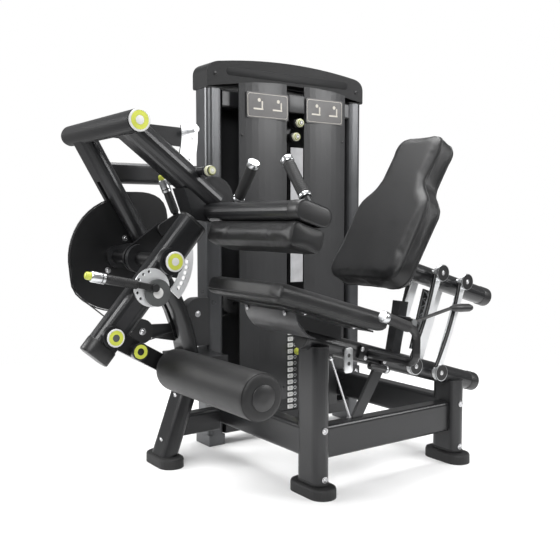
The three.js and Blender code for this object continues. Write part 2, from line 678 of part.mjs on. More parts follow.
function liftCable() {
  const leaving = 228;                         // angle of the run's normal, cam to idler
  const rise = 282.2;                          // and of the run from the idler to the tower
  const [first, second] = TOP_PULLEYS;
  return sweep(circle(CABLE_R), [
    onPlane(polar(KNEE, CAM_ARC + CABLE_R + GAP, leaving), CABLE_X + 5.6),
    ...arcKnots(IDLER, IDLER.r, leaving, rise, 5),
    ...arcKnots(LOWER_PULLEY, LOWER_PULLEY.r, rise, 360, 6),
    ...arcKnots(first, first.r, 180, 90, 6),
    ...arcKnots(second, second.r, 90, 0, 6),
    point(CABLE_X, STACK.y, TOP_PULLEY_Z - 30),
  ], 4);
}

/** The cable lying on the cam's rim, from the notch behind the lobe round to the far side. */
function camCable() {
  const knots = [];
  for (let degrees = 86; degrees <= 302; degrees += 9) {
    knots.push(onPlane(polar(KNEE, camRadius(degrees) + CABLE_R + 1.4, degrees), CABLE_X - 1));
  }
  return sweep(circle(CABLE_R), knots, 4);
}

function mainShaft() {
  const shaft = rodX(SHAFT_R, CABLE_X - 34, -216, KNEE, 32);
  const cap = rodX(31, -221, -206, KNEE, 32);
  const arm = plate(strapOutline(KNEE, 46, RANGE_PIVOT, 24), -492, -480);
  return join(shaft, cap, arm);
}

function startSector() {
  const hub = rodX(48, SECTOR.x0, SECTOR.x1 + 14, KNEE, 28);
  const ring = plate(ringSegment(KNEE, SECTOR.inner, SECTOR.outer, -44, 12), SECTOR.x0, SECTOR.x1);
  const web = plate(strapOutline(KNEE, 40, polar(KNEE, 168, -16), 30), SECTOR.x0, SECTOR.x1);
  const holes = [-35.8, -29.7, -23.6, -17.5, -11.4, -5.3].map((angle) => (
    rodX(8, SECTOR.x0 - 5, SECTOR.x1 + 5, polar(KNEE, SECTOR.holes, angle), 10)
  ));
  return cut(join(hub, ring, web), rodX(SHAFT_R + GAP, -500, -400, KNEE, 32), ...holes);
}

/** Lever with a round grip: a boss on its pivot, a flat neck, then the turned handle. */
function gripLever(pivot, tip, x, neckLength, bossLength) {
  const start = point(x, pivot.y, pivot.z);
  const end = point(x, tip.y, tip.z);
  const length = start.distanceTo(end);
  const direction = new THREE.Vector3().subVectors(end, start).normalize();
  const boss = rodX(12, x - bossLength / 2, x + bossLength / 2, pivot, 18);
  const neckEnd = start.clone().addScaledVector(direction, neckLength + 4);
  const neck = bar(roundedRect(10, 20, 3), start, neckEnd, ALONG_X, 2);
  const g = length - neckLength;
  const profile = [
    [0, 0], [9, 0], [14, 6], [14, g - 62], [16, g - 60], [16, g - 24], [11, g - 22], [9, g], [0, g],
  ];
  const handle = turned(profile, start.clone().addScaledVector(direction, neckLength), end, 14);
  return join(boss, neck, handle);
}

function rangeLever() {
  const base = { y: -226, z: 884 };
  const tip = { y: -287, z: 1028 };
  const x = -466;
  const link = plate(strapOutline(RANGE_PIVOT, 22, base, 15), x - 13, x - 1);
  return join(link, gripLever(base, tip, x - 13, 16, 20));
}

function driveTrain() {
  add('inclined_post', inclinedPost(), FRAME_GREY);
  add('tower_strut', strut(), FRAME_GREY);
  add('pulley_housing', pulleyHousing(), PANEL_GREY);
  add('cam_disc', camDisc(), BLACK_METAL);
  add('cam_cable', camCable(), BLACK_PLASTIC);
  add('lift_cable', liftCable(), BLACK_PLASTIC);
  const drop = [point(CABLE_X, STACK.y, TOP_PULLEY_Z - 31), point(CABLE_X, STACK.y, liftedTop + 77)];
  add('stack_cable', rod(CABLE_R, drop[1], drop[0], 8), BLACK_PLASTIC);
  add('main_shaft', mainShaft(), BLACK_METAL);
  add('start_sector', startSector(), CHROME);
  add('range_lever', rangeLever(), BLACK_PLASTIC);
  add('idler_pulley', pulley(IDLER), BLACK_PLASTIC);
  add('lower_pulley', pulley(LOWER_PULLEY), BLACK_PLASTIC);
  add('top_pulley_front', pulley(TOP_PULLEYS[0]), BLACK_PLASTIC);
  add('top_pulley_rear', pulley(TOP_PULLEYS[1]), BLACK_PLASTIC);
}

/** Cover on the front column where the cable enters the tower. */
function pulleyHousing() {
  const shape = new THREE.Shape();
  shape.moveTo(TOWER.frontY0 - GAP, 400);
  shape.lineTo(TOWER.frontY0 - GAP, 582);
  shape.lineTo(-62, 582);
  shape.absarc(-62, 532, 50, Math.PI / 2, Math.PI);
  shape.lineTo(-112, 400);
  const body = plate(shape, CABLE_X - 20, CABLE_X + 25, 8);
  const slot = box(CABLE_X - 8, CABLE_X + 8, -130, 20, 448, 520);
  return cut(body, slot, postTube(2 * GAP));
}

// ---------------------------------------------------------------- movement arm and roller

const beamPoint = (distance, offset = 0) => ({
  y: KNEE.y + distance * Math.cos(BEAM_ANGLE) + offset * Math.sin(BEAM_ANGLE),
  z: KNEE.z + distance * Math.sin(BEAM_ANGLE) - offset * Math.cos(BEAM_ANGLE),
});

function movementBeam() {
  const middle = (BEAM.x0 + BEAM.x1) / 2;
  const start = onPlane(beamPoint(BEAM.low), middle);
  const end = onPlane(beamPoint(BEAM.high), middle);
  const tube = bar(oval(BEAM.width, BEAM.x1 - BEAM.x0), start, end, point(0, 1, -1));
  const hub = rodX(42, BEAM.x1 - 2, -222, KNEE, 28);
  const boss = rodX(34, BEAM.x1 - 2, -228, ARM_PIVOT, 24);
  const cap = rodX(27, -230, -216, ARM_PIVOT, 24);
  const disc = rodX(42, BEAM.x1 + 6, BEAM.x1 + 13, { y: -427, z: 652 }, 28);
  const discStem = rodX(20, BEAM.x1 - 2, BEAM.x1 + 8, { y: -428, z: 645 }, 20);
  const body = join(tube, hub, boss, cap, disc, discStem);

  const along = 52;
  const slot = bar(
    roundedRect(43, 2 * along, 2),
    onPlane(beamPoint(-294, -34), middle),
    onPlane(beamPoint(-294, 90), middle),
    ALONG_X,
    2,
  );
  return cut(body, slot, rodX(SHAFT_R + 0.8, -330, -200, KNEE, 32));
}

function indexDisc() {
  const disc = rodX(60, BEAM.x1 + GAP, BEAM.x1 + 5.4, LATCH, 32);
  const holes = [100, 124, 148, 172, 196, 220].map((angle) => (
    rodX(5, BEAM.x1 - 5, BEAM.x1 + 10, polar(LATCH, 50, angle), 8)
  ));
  const hubHole = rodX(42.5, -250, -220, KNEE, 28);
  const greyHole = rodX(20.4, -250, -220, { y: -428, z: 645 }, 20);
  return cut(disc, hubHole, greyHole, ...holes);
}

function rollerArm() {
  const middle = (BEAM.x0 + BEAM.x1) / 2;
  const x0 = middle - 20;
  const x1 = middle + 20;
  const armBar = plate(strapOutline(ARM_PIVOT, 27, { y: ROLLER.y, z: ROLLER.z }, 27), x0, x1);
  const boss = rodX(27, x1 - 2, x1 + 21, { y: -488, z: 475 }, 24);
  const axle = rodX(12.5, x1 - 2, ROLLER.x1 - 2, ROLLER, 20);
  return join(armBar, boss, axle);
}

function footRoller() {
  const { x0, x1, r, bore } = ROLLER;
  const length = x1 - x0;
  const profile = [[bore, 0], [r - 24, 0]];
  for (let i = 1; i <= 3; i += 1) {
    const angle = (i / 3) * (Math.PI / 2);
    profile.push([r - 24 + 24 * Math.sin(angle), 24 - 24 * Math.cos(angle)]);
  }
  profile.push([r, length - 14], [r - 4, length - 4], [r - 14, length], [bore, length], [bore, 0]);
  return turned(profile, point(x0, ROLLER.y, ROLLER.z), point(x1, ROLLER.y, ROLLER.z), 28);
}

function movementArm() {
  add('movement_beam', movementBeam(), FRAME_GREY);
  add('index_disc', indexDisc(), CHROME);
  add('start_lever', gripLever(LATCH, { y: -664, z: 717 }, -220, 56, 22), BLACK_PLASTIC);
  add('roller_arm', rollerArm(), BLACK_METAL);
  add('foot_roller', footRoller(), LEATHER);
}

// ---------------------------------------------------------------- thigh hold-down

function thighPivotTube() {
  const profile = [[0, 0], [14, 1.5], [25, 7], [32, 16], [35, 28], [35, 328], [0, 328]];
  return turned(profile, point(-780, THIGH.y, THIGH.z), point(0, THIGH.y, THIGH.z), 36);
}

/** Toothed sector and the gusset that carries it from the end of the fixed tube. */
function thighSector() {
  const { x0, x1, inner, outer, holes } = THIGH_SECTOR;
  const ring = plate(ringSegment(THIGH, inner, outer, -36, 6), x0, x1);
  const a = polar(THIGH, 33, 62);
  const b = polar(THIGH, inner + 8, 4);
  const c = polar(THIGH, inner + 8, -9);
  const d = polar(THIGH, 33, -56);
  const gusset = plate(outline([[a.y, a.z], [d.y, d.z], [c.y, c.z], [b.y, b.z]]), x0, x1);
  const stop = rodX(11, x1 - 1, x1 + 50, polar(THIGH, 308, 2.6), 16);
  const pinHoles = [-2.9, -16.3, -29.7].map((angle) => rodX(6.5, -480, -440, polar(THIGH, holes, angle), 12));
  return cut(join(ring, gusset, stop), rodX(THIGH.r + GAP, -800, -400, THIGH, 36), ...pinHoles);
}

const thighAlong = (distance, offset) => ({
  y: THIGH.y + distance * Math.cos(THIGH_SLOPE) - offset * Math.sin(THIGH_SLOPE),
  z: THIGH.z + distance * Math.sin(THIGH_SLOPE) + offset * Math.cos(THIGH_SLOPE),
});

const PULL_PIN = thighAlong(283, 41);

/** Point at a height above the middle of the thigh pad, square to the pad. */
const abovePad = (x, rise) => (
  point(x, THIGH_PAD.y - rise * Math.sin(PAD_TILT), THIGH_PAD.z + rise * Math.cos(PAD_TILT))
);

const padSide = point(0, Math.cos(PAD_TILT), Math.sin(PAD_TILT));
const crossRise = THIGH_PAD.thick / 2 + GAP + CROSS_TUBE.tall / 2;

function crossTube() {
  const { x0, x1, wide, tall } = CROSS_TUBE;
  const tube = bar(roundedRect(wide, tall, 29), abovePad(x0, crossRise), abovePad(x1, crossRise), padSide, 3);
  const capShape = roundedRect(wide + 6, tall, 29);
  const cap = bar(capShape, abovePad(x1 - 34, crossRise), abovePad(222, crossRise), padSide, 3);
  return join(tube, cap);
}

function thighArm() {
  const hub = rodX(THIGH.r, -451.4, -205, THIGH, 36);
  const cap = rodX(33, -206, -199, THIGH, 32);
  const middle = -330;
  const armStart = onPlane(thighAlong(12, 10), middle);
  const armEnd = onPlane(thighAlong(396, 10), middle);
  const arm = bar(oval(OVAL_WIDE, 80), armStart, armEnd, ALONG_X);
  const web = plate(outline([[-300, 980], [-262, 876], [-120, 862], [-118, 900], [-160, 960]]), -372, -290);
  const guard = plate(ringSegment({ y: -196, z: 946 }, 2, 72, -30, 150), -282, -276, 14);
  const bracket = rodX(15, -300, -243, PULL_PIN, 18);
  return join(hub, cap, arm, crossTube(), web, guard, bracket);
}

function thighPad() {
  const { x0, x1, wide, thick } = THIGH_PAD;
  return bar(roundedRect(wide, thick, 22), abovePad(x0, 0), abovePad(x1, 0), padSide, 3, 8);
}

function thighPullPin() {
  const profile = [[0, 0], [10, 0], [10, 14], [15, 16], [16, 34], [12, 40], [0, 41]];
  return turned(profile, onPlane(PULL_PIN, -242.6), onPlane(PULL_PIN, 0), 18);
}

/** Hand grips that lean inwards above the thigh pad. */
function thighGrip(side) {
  return rod(14, point(side * 204, -168, 906), point(side * 86, -168, 1052), 14);
}

function thighHold() {
  add('thigh_pivot_tube', thighPivotTube(), FRAME_GREY);
  add('thigh_sector', thighSector(), CHROME);
  add('thigh_arm', join(thighArm(), thighGrip(-1), thighGrip(1)), FRAME_GREY);
  add('thigh_pad', thighPad(), LEATHER);
  add('thigh_pull_pin', thighPullPin(), BLACK_PLASTIC);
}

// ---------------------------------------------------------------- backrest on its links

const highPivot = (pivot) => ({ y: pivot.y + LINK.y, z: pivot.z + LINK.z });

/** Pair of flat links with their discs, joined by the two pivot pins. */
function link(low) {
  const high = highPivot(low);
  const parts = [];
  for (const side of [-1, 1]) {
    const x = (a, b) => [Math.min(side * a, side * b), Math.max(side * a, side * b)];
    parts.push(plate(strapOutline(low, 16, high, 16), ...x(LINK_X0, LINK_X1), 4));
    parts.push(rodX(28, ...x(LINK_X1 - 1, DISC_X1), low, 20));
    parts.push(rodX(28, ...x(LINK_X1 - 1, DISC_X1), high, 20));
  }
  parts.push(rodX(PIN_R, -LINK_X1 + 2, LINK_X1 - 2, low, 12));
  parts.push(rodX(PIN_R, -LINK_X1 + 2, LINK_X1 - 2, high, 12));
  return join(...parts);
}

const reclined = (along, behind = 0) => ({
  y: BACK_FOOT.y + along * Math.sin(RECLINE) + behind * Math.cos(RECLINE),
  z: BACK_FOOT.z + along * Math.cos(RECLINE) - behind * Math.sin(RECLINE),
});

function carriage() {
  const high = highPivot(LOW_PIVOTS[0]);
  const tubeZ = (y) => high.z - 18 - 0.294 * (y - high.y);
  const tube = rod(33, point(0, 246, tubeZ(246)), point(0, 816, tubeZ(816)), 32);
  const rear = PAD_THICKNESS + GAP;
  const boardOutline = (a0, a1, b0, b1) => outline(
    [[a0, b0], [a1, b0], [a1, b1], [a0, b1]].map(([a, b]) => Object.values(reclined(a, b))),
  );
  const mountPlate = plate(boardOutline(40, 220, rear, rear + 13), -90, 90);
  const pinHoles = LOW_PIVOTS.map((pivot) => rodX(PIN_R + 0.8, -80, 80, highPivot(pivot), 16));
  const ahead = plate(boardOutline(-90, 300, -200, rear), -200, 200);
  return cut(join(tube, mountPlate), ahead, ...pinHoles);
}

/** Outline of the backrest, wide below and narrow above, drawn from its lower end up. */
function backOutline(inset) {
  const low = 178 - inset;
  const high = 115 - inset;
  const top = BACK_LENGTH - inset;
  const foot0 = inset;
  const shape = new THREE.Shape();
  shape.moveTo(-low + 52, foot0);
  shape.lineTo(low - 52, foot0);
  shape.quadraticCurveTo(low, foot0, low, foot0 + 56);
  shape.lineTo(low, 282);
  shape.bezierCurveTo(low, 322, high, 346, high, 392);
  shape.lineTo(high, top - 46);
  shape.quadraticCurveTo(high - 2, top, high - 46, top);
  shape.lineTo(-high + 46, top);
  shape.quadraticCurveTo(-high + 2, top, -high, top - 46);
  shape.lineTo(-high, 392);
  shape.bezierCurveTo(-high, 346, -low, 322, -low, 282);
  shape.lineTo(-low, foot0 + 56);
  shape.quadraticCurveTo(-low, foot0, -low + 52, foot0);
  return shape;
}

function backPad() {
  const bevel = 14;
  const geometry = new THREE.ExtrudeGeometry(backOutline(bevel), {
    depth: PAD_THICKNESS - 2 * bevel,
    bevelEnabled: true,
    bevelThickness: bevel,
    bevelSize: bevel,
    bevelSegments: 2,
    curveSegments: 5,
  });
  const up = point(0, Math.sin(RECLINE), Math.cos(RECLINE));
  const forward = point(0, -Math.cos(RECLINE), Math.sin(RECLINE));
  const rear = reclined(0, PAD_THICKNESS - bevel);
  const basis = new THREE.Matrix4().makeBasis(ALONG_X, up, forward);
  return geometry.applyMatrix4(basis.setPosition(point(0, rear.y, rear.z)));
}

function releaseLever() {
  const x = 90;
  const knee = point(x, 540, 572);
  const boss = rodX(13, 75.4, x + 8, RELEASE, 18);
  const shaft = rod(6, onPlane(RELEASE, x), knee, 12);
  const profile = [[0, 0], [7, 2], [13, 22], [15, 52], [14, 94], [9, 108], [0, 111]];
  const paddle = turned(profile, point(x, 532, 571.6), point(x, 640, 566), 14);
  return join(boss, shaft, paddle);
}

function backrest() {
  add('front_link', link(LOW_PIVOTS[0]), CHROME);
  add('rear_link', link(LOW_PIVOTS[1]), CHROME);
  add('back_carriage', carriage(), FRAME_GREY);
  add('back_pad', backPad(), LEATHER);
  add('release_lever', releaseLever(), BLACK_PLASTIC);
}

// ---------------------------------------------------------------- assembly

seatFrame();
add('seat_beam', seatBeam(), FRAME_GREY);
add('seat_pad', seatPad(), LEATHER);
add('seat_guard', seatGuard(), COLUMN_GREY);
add('side_handle_left', sideHandle(1), BLACK_METAL);
add('side_handle_right', sideHandle(-1), BLACK_METAL);
base();
tower();
driveTrain();
movementArm();
thighHold();
backrest();

machine.position.set(-FOOTPRINT_CENTRE.x, -FOOTPRINT_CENTRE.y, 0);

export default machine;
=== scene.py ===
"""Looks of a seated leg extension and leg curl machine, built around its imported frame.

All lengths are in metres. Places are given from the middle of the front seat post's foot: x to the
sitter's left, y towards the backrest and z up from the floor, and at() moves them into the frame.
"""
import math

import bmesh
import bpy
from mathutils import Matrix, Vector
from mathutils.bvhtree import BVHTree


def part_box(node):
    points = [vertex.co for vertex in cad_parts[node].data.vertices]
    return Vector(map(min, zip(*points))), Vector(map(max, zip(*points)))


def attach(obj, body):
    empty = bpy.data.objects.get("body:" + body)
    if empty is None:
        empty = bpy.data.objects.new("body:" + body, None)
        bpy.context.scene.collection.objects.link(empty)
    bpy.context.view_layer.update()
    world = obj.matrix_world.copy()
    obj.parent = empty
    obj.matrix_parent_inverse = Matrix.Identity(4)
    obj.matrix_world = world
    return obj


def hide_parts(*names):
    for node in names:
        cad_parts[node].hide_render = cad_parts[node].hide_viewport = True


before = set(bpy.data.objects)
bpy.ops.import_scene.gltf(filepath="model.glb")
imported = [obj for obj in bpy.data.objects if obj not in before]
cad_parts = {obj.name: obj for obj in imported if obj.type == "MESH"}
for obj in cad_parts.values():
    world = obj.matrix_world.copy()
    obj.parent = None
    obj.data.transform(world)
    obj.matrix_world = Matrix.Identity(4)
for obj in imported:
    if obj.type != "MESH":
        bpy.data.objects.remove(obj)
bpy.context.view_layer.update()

post_low, post_high = (Vector(corner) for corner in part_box("front_seat_post"))
SEAT_POST = Vector(((post_low.x + post_high.x) / 2, (post_low.y + post_high.y) / 2, 0.0))
X, Y, Z = Vector((1, 0, 0)), Vector((0, 1, 0)), Vector((0, 0, 1))


def at(x, y, z):
    return SEAT_POST + Vector((x, y, z))


# ---------------------------------------------------------------- places shared by many pieces
# Pairs are (y, z). Axes and pivots lie along X, so their x is given where a piece sits on them.

KNEE = (-0.381, 0.748)
THIGH = (-0.497, 1.170)
ARM_PIVOT = (-0.575, 0.527)
ARM_BOSS = (-0.488, 0.475)
ROLLER = (-0.370, 0.408)
LATCH = (-0.443, 0.669)
LATCH_DISC = (-0.427, 0.652)
RANGE_BASE = (-0.226, 0.884)
RANGE_TIP = (-0.287, 1.028)
START_TIP = (-0.664, 0.717)
START_RING = 0.158
THIGH_RING = 0.2775
LOW_PIVOTS = ((0.388, 0.380), (0.513, 0.3432))
LINK_RISE = (0.125, 0.313)
BEAM_ANGLE = math.radians(49.5)
SEAT_RISE = 0.294
SEAT_SLOPE = math.atan(SEAT_RISE)
SEAT_DOWN = Vector((0, math.cos(SEAT_SLOPE), -math.sin(SEAT_SLOPE)))
SEAT_FRONT = (-0.268, 0.707)      # upper front edge of the seat pad
SEAT_LENGTH = 0.436
SEAT_DEPTH = 0.057
RECLINE = math.radians(31.3)
BACK_FOOT = (0.172, 0.685)      # lower end of the back pad's front face
BACK_LENGTH = 0.577
BACK_DEPTH = 0.095
RELEASE = (0.346, 0.536)
PULL_PIN = (-0.2468, 1.0316)
PAD_CENTRE = (-0.191, 0.827)
PAD_TILT = math.radians(-17)
PAD_SIDE = Vector((0, math.cos(PAD_TILT), math.sin(PAD_TILT)))
PAD_UP = Vector((0, -math.sin(PAD_TILT), math.cos(PAD_TILT)))
STACK_Y = 0.380
PLATE_PITCH = 0.0254
PLATE_THICKNESS = 0.0249
PLATE_COUNT = 14
LOWEST_PLATE = 0.100
PIN_PLATE = 9                   # the selector pin's plate, counted from the lowest
TAG_Y = STACK_Y - 0.024
REAR_POST_Y = 0.627
LEG_FOOT = (-0.246, 0.036)
LEG_TOP = (-0.136, 0.332)
SHROUD_FACE_X = -0.5929
CAP_MIDDLE_Y = 0.3695
CAP_HALF_WIDTH = 0.3895
BEAM_FACE_X = -0.245


# ---------------------------------------------------------------- materials

def node_material(name, color, roughness, metallic=0.0, **sockets):
    material = bpy.data.materials.new(name)
    material.use_nodes = True
    shader = material.node_tree.nodes["Principled BSDF"]
    shader.inputs["Base Color"].default_value = (*color, 1)
    shader.inputs["Roughness"].default_value = roughness
    shader.inputs["Metallic"].default_value = metallic
    for socket, value in sockets.items():
        shader.inputs[socket.replace("_", " ")].default_value = value
    return material


def add_node(material, kind, **values):
    node = material.node_tree.nodes.new(kind)
    for key, value in values.items():
        if hasattr(node, key):
            setattr(node, key, value)
        else:
            node.inputs[key.replace("_", " ")].default_value = value
    return node


def link(material, a, out, b, into):
    material.node_tree.links.new(a.outputs[out], b.inputs[into])


def vary(material, color, amount, scale, roughness=None, spread=0.0):
    """Slow noise that shifts the colour, and the roughness if it is given."""
    shader = material.node_tree.nodes["Principled BSDF"]
    where = add_node(material, "ShaderNodeTexCoord")
    noise = add_node(material, "ShaderNodeTexNoise", Scale=scale, Detail=4.0)
    link(material, where, "Object", noise, "Vector")
    ramp = add_node(material, "ShaderNodeValToRGB")
    ramp.color_ramp.elements[0].position = 0.3
    ramp.color_ramp.elements[1].position = 0.7
    ramp.color_ramp.elements[0].color = (*(c * (1 - amount) for c in color), 1)
    ramp.color_ramp.elements[1].color = (*(c * (1 + amount) for c in color), 1)
    link(material, noise, "Fac", ramp, "Fac")
    link(material, ramp, "Color", shader, "Base Color")
    if roughness is not None:
        span = add_node(material, "ShaderNodeMapRange", To_Min=roughness - spread, To_Max=roughness + spread)
        link(material, noise, "Fac", span, "Value")
        link(material, span, "Result", shader, "Roughness")


def grain(material, texture, scale, strength, distance, out="Fac", **values):
    """Fine bump from a noise or cell texture."""
    shader = material.node_tree.nodes["Principled BSDF"]
    where = add_node(material, "ShaderNodeTexCoord")
    cells = add_node(material, texture, Scale=scale, **values)
    bump = add_node(material, "ShaderNodeBump", Strength=strength, Distance=distance)
    link(material, where, "Object", cells, "Vector")
    link(material, cells, out, bump, "Height")
    link(material, bump, "Normal", shader, "Normal")


def powder_coat(name, color, roughness, metallic, orange_peel=0.35, coat=0.2):
    material = node_material(name, color, roughness, metallic, Coat_Weight=coat, Coat_Roughness=0.2)
    vary(material, color, 0.10, 9.0, roughness, 0.06)
    grain(material, "ShaderNodeTexNoise", 620.0, orange_peel, 0.0006, Detail=2.0)
    return material


def vinyl(name, color, roughness):
    material = node_material(name, color, roughness, Specular_IOR_Level=0.36, Sheen_Weight=0.03)
    vary(material, color, 0.14, 14.0, roughness, 0.07)
    grain(material, "ShaderNodeTexVoronoi", 430.0, 0.35, 0.0011, out="Distance", Randomness=0.9)
    return material


def moulded(name, color, roughness):
    material = node_material(name, color, roughness)
    vary(material, color, 0.12, 26.0, roughness, 0.05)
    grain(material, "ShaderNodeTexNoise", 900.0, 0.25, 0.0004, Detail=1.0)
    return material


def plated(name, color, roughness):
    material = node_material(name, color, roughness, 1.0)
    vary(material, color, 0.03, 30.0, roughness, 0.03)
    return material


FRAME_COLOR = (0.0145, 0.0148, 0.0160)
BRIGHT_STEEL = (0.90, 0.91, 0.92)
FRAME_GREY = powder_coat("frame_powder_coat", FRAME_COLOR, 0.30, 0.30)
FACE_GREY = powder_coat("frame_powder_coat_light", (0.030, 0.030, 0.032), 0.34, 0.30)
COLUMN_GREY = powder_coat("column_powder_coat", (0.078, 0.080, 0.084), 0.30, 0.60)
PANEL_GREY = powder_coat("panel_textured_paint", (0.0190, 0.0193, 0.0205), 0.42, 0.1, 0.6)
CAP_GREY = powder_coat("cap_textured_paint", (0.0070, 0.0072, 0.0078), 0.50, 0.0, 0.6, 0.0)
CAP_GREY.node_tree.nodes["Principled BSDF"].inputs["Specular IOR Level"].default_value = 0.3
BLACK_PAINT = powder_coat("black_paint", (0.0055, 0.0055, 0.0060), 0.32, 0.1)
CAM_PAINT = powder_coat("cam_black_paint", (0.0060, 0.0061, 0.0066), 0.34, 0.2)
PLASTIC = moulded("black_moulded_plastic", (0.0095, 0.0095, 0.0100), 0.42)
GREY_PLASTIC = moulded("grey_moulded_plastic", (0.062, 0.065, 0.065), 0.45)
RUBBER = moulded("black_rubber", (0.0090, 0.0090, 0.0095), 0.62)
GRIP_RUBBER = moulded("grip_rubber", (0.0085, 0.0085, 0.0090), 0.58)
VINYL = vinyl("black_vinyl", (0.0062, 0.0063, 0.0068), 0.40)
ROLLER_FOAM = vinyl("roller_cover", (0.0078, 0.0078, 0.0082), 0.50)
CHROME = plated("chrome", (0.52, 0.53, 0.54), 0.28)
SATIN_STEEL = plated("satin_steel", (0.62, 0.63, 0.64), 0.30)
PALE_STEEL = plated("brushed_link_plate", BRIGHT_STEEL, 0.50)
ZINC = plated("zinc_bolt", (0.58, 0.58, 0.59), 0.28)
IRON = powder_coat("painted_iron", (0.012, 0.0125, 0.013), 0.5, 0.3, 0.7)
YELLOW = moulded("yellow_plastic", (0.50, 0.54, 0.07), 0.4)
OLIVE = moulded("olive_ring", (0.30, 0.32, 0.10), 0.4)
IVORY = moulded("ivory_plastic", (0.58, 0.58, 0.42), 0.3)
WHITE = moulded("white_plastic", (0.60, 0.60, 0.59), 0.35)
STRIP_GREY = moulded("light_grey_strip", (0.36, 0.36, 0.37), 0.45)
PLACARD = moulded("placard_brown", (0.012, 0.009, 0.008), 0.3)
PLACARD_LINE = moulded("placard_border", (0.50, 0.47, 0.41), 0.4)
# Print ink for the plate numbers, also used as painted shade on the floors of the pin and adjuster holes.
INK_AND_HOLE_SHADE = moulded("tag_ink_and_painted_hole_shade", (0.02, 0.02, 0.02), 0.5)
CABLE_COAT = moulded("cable_coating", (0.008, 0.008, 0.009), 0.35)


# ---------------------------------------------------------------- mesh helpers

SMOOTH_ANGLE = math.radians(38)
SOFT_ANGLE = math.radians(80)


def finish_mesh(mesh, angle=SMOOTH_ANGLE):
    for polygon in mesh.polygons:
        polygon.use_smooth = True
    mesh.set_sharp_from_angle(angle=angle)


def piece(name, mesh_maker, body, materials, angle=SMOOTH_ANGLE):
    """New object from mesh_maker(bm), riding on a body and taking its finish from a slot."""
    mesh = bpy.data.meshes.new(name)
    bm = bmesh.new()
    mesh_maker(bm)
    bmesh.ops.recalc_face_normals(bm, faces=bm.faces)
    bm.to_mesh(mesh)
    bm.free()
    for material in materials if isinstance(materials, list) else [materials]:
        mesh.materials.append(material)
    finish_mesh(mesh, angle)
    obj = bpy.data.objects.new(name, mesh)
    bpy.context.scene.collection.objects.link(obj)
    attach(obj, body)


def basis_along(direction, hint=None):
    """Rotation whose z axis lies along direction and whose x axis lies near hint."""
    z = Vector(direction).normalized()
    x = Vector(hint) if hint is not None else (X if abs(z.x) < 0.9 else Y)
    x = (x - z * x.dot(z)).normalized()
    return Matrix((x, z.cross(x), z)).transposed()


def add_lathe(bm, profile, start, direction, segments, zones=None):
    """Solid of revolution: profile is (radius, distance); zones is a material index per band."""
    turn = basis_along(direction)
    rings = []
    for radius, distance in profile:
        if radius < 1e-6:
            rings.append([bm.verts.new(start + turn @ Vector((0, 0, distance)))])
            continue
        ring = []
        for i in range(segments):
            angle = 2 * math.pi * i / segments
            local = Vector((radius * math.cos(angle), radius * math.sin(angle), distance))
            ring.append(bm.verts.new(start + turn @ local))
        rings.append(ring)
    for band, (a, b) in enumerate(zip(rings, rings[1:])):
        for i in range(segments):
            j = (i + 1) % segments
            corners = [a[i % len(a)], a[j % len(a)], b[j % len(b)], b[i % len(b)]]
            face = bm.faces.new(list(dict.fromkeys(corners)))
            face.material_index = zones[band] if zones else 0


def add_prism(bm, outline, origin, turn, depth, bevel=0.0, steps=3, zone=0):
    """Prism of an outline in the turn's x and y, rounded at both ends by bevel."""
    levels = [(0.0, 0.0), (0.0, depth)]
    if bevel:
        angles = [math.pi / 2 * i / steps for i in range(steps + 1)]
        levels = [(bevel * (1 - math.sin(a)), bevel * (1 - math.cos(a))) for a in angles]
        levels += [(inset, depth - along) for inset, along in reversed(levels)]
    count = len(outline)
    points = [Vector(p) for p in outline]
    area = sum(a.x * b.y - b.x * a.y for a, b in zip(points, points[1:] + points[:1]))
    turned = 1 if area > 0 else -1
    normals = []
    for i, p in enumerate(points):
        before = (p - points[i - 1]).normalized()
        after = (points[(i + 1) % count] - p).normalized()
        along = (before + after).normalized()
        normals.append(Vector((along.y, -along.x)) * turned)
    rings = []
    for inset, height in levels:
        rings.append([bm.verts.new(origin + turn @ Vector((*(p - n * inset), height)))
                      for p, n in zip(points, normals)])
    for a, b in zip(rings, rings[1:]):
        for i in range(count):
            bm.faces.new((a[i], a[(i + 1) % count], b[(i + 1) % count], b[i])).material_index = zone
    bm.faces.new(rings[0][::-1]).material_index = zone
    bm.faces.new(rings[-1]).material_index = zone


def round_outline(radius, count):
    return [(radius * math.cos(2 * math.pi * i / count), radius * math.sin(2 * math.pi * i / count))
            for i in range(count)]


def add_sweep(bm, path, radius, segments, closed=False):
    """Round bar along a path of points, or round a closed one."""
    points = [Vector(p) for p in path]
    count = len(points)
    section = round_outline(radius, segments)
    hint = None
    rings = []
    for i, p in enumerate(points):
        before = points[i - 1] if (i or closed) else p
        after = points[(i + 1) % count] if (i < count - 1 or closed) else p
        direction = (after - before).normalized()
        turn = basis_along(direction, hint)
        hint = turn @ X
        rings.append([bm.verts.new(p + turn @ Vector((*corner, 0))) for corner in section])
    pairs = list(zip(rings, rings[1:]))
    if closed:
        pairs.append((rings[-1], rings[0]))
    for a, b in pairs:
        for k in range(segments):
            bm.faces.new((a[k], a[(k + 1) % segments], b[(k + 1) % segments], b[k]))
    if not closed:
        bm.faces.new(rings[0][::-1])
        bm.faces.new(rings[-1])


def rounded(width, height, radius, steps=6):
    """Outline of a rectangle with rounded corners, centred on the origin."""
    corners = []
    for i, (sx, sy) in enumerate(((1, 1), (-1, 1), (-1, -1), (1, -1))):
        for k in range(steps + 1):
            angle = math.pi / 2 * (i + k / steps)
            corners.append((sx * (width / 2 - radius) + radius * math.cos(angle),
                            sy * (height / 2 - radius) + radius * math.sin(angle)))
    unique = [corners[0]]
    for corner in corners[1:]:
        if math.dist(corner, unique[-1]) > 1e-6:
            unique.append(corner)
    if math.dist(unique[0], unique[-1]) < 1e-6:
        unique.pop()
    return unique


def on_plane(point, x):
    return at(x, point[0], point[1])


def above_pad(x, rise):
    """Point over the thigh pad's middle line, square to its tilt."""
    return on_plane(PAD_CENTRE, x) + PAD_UP * rise


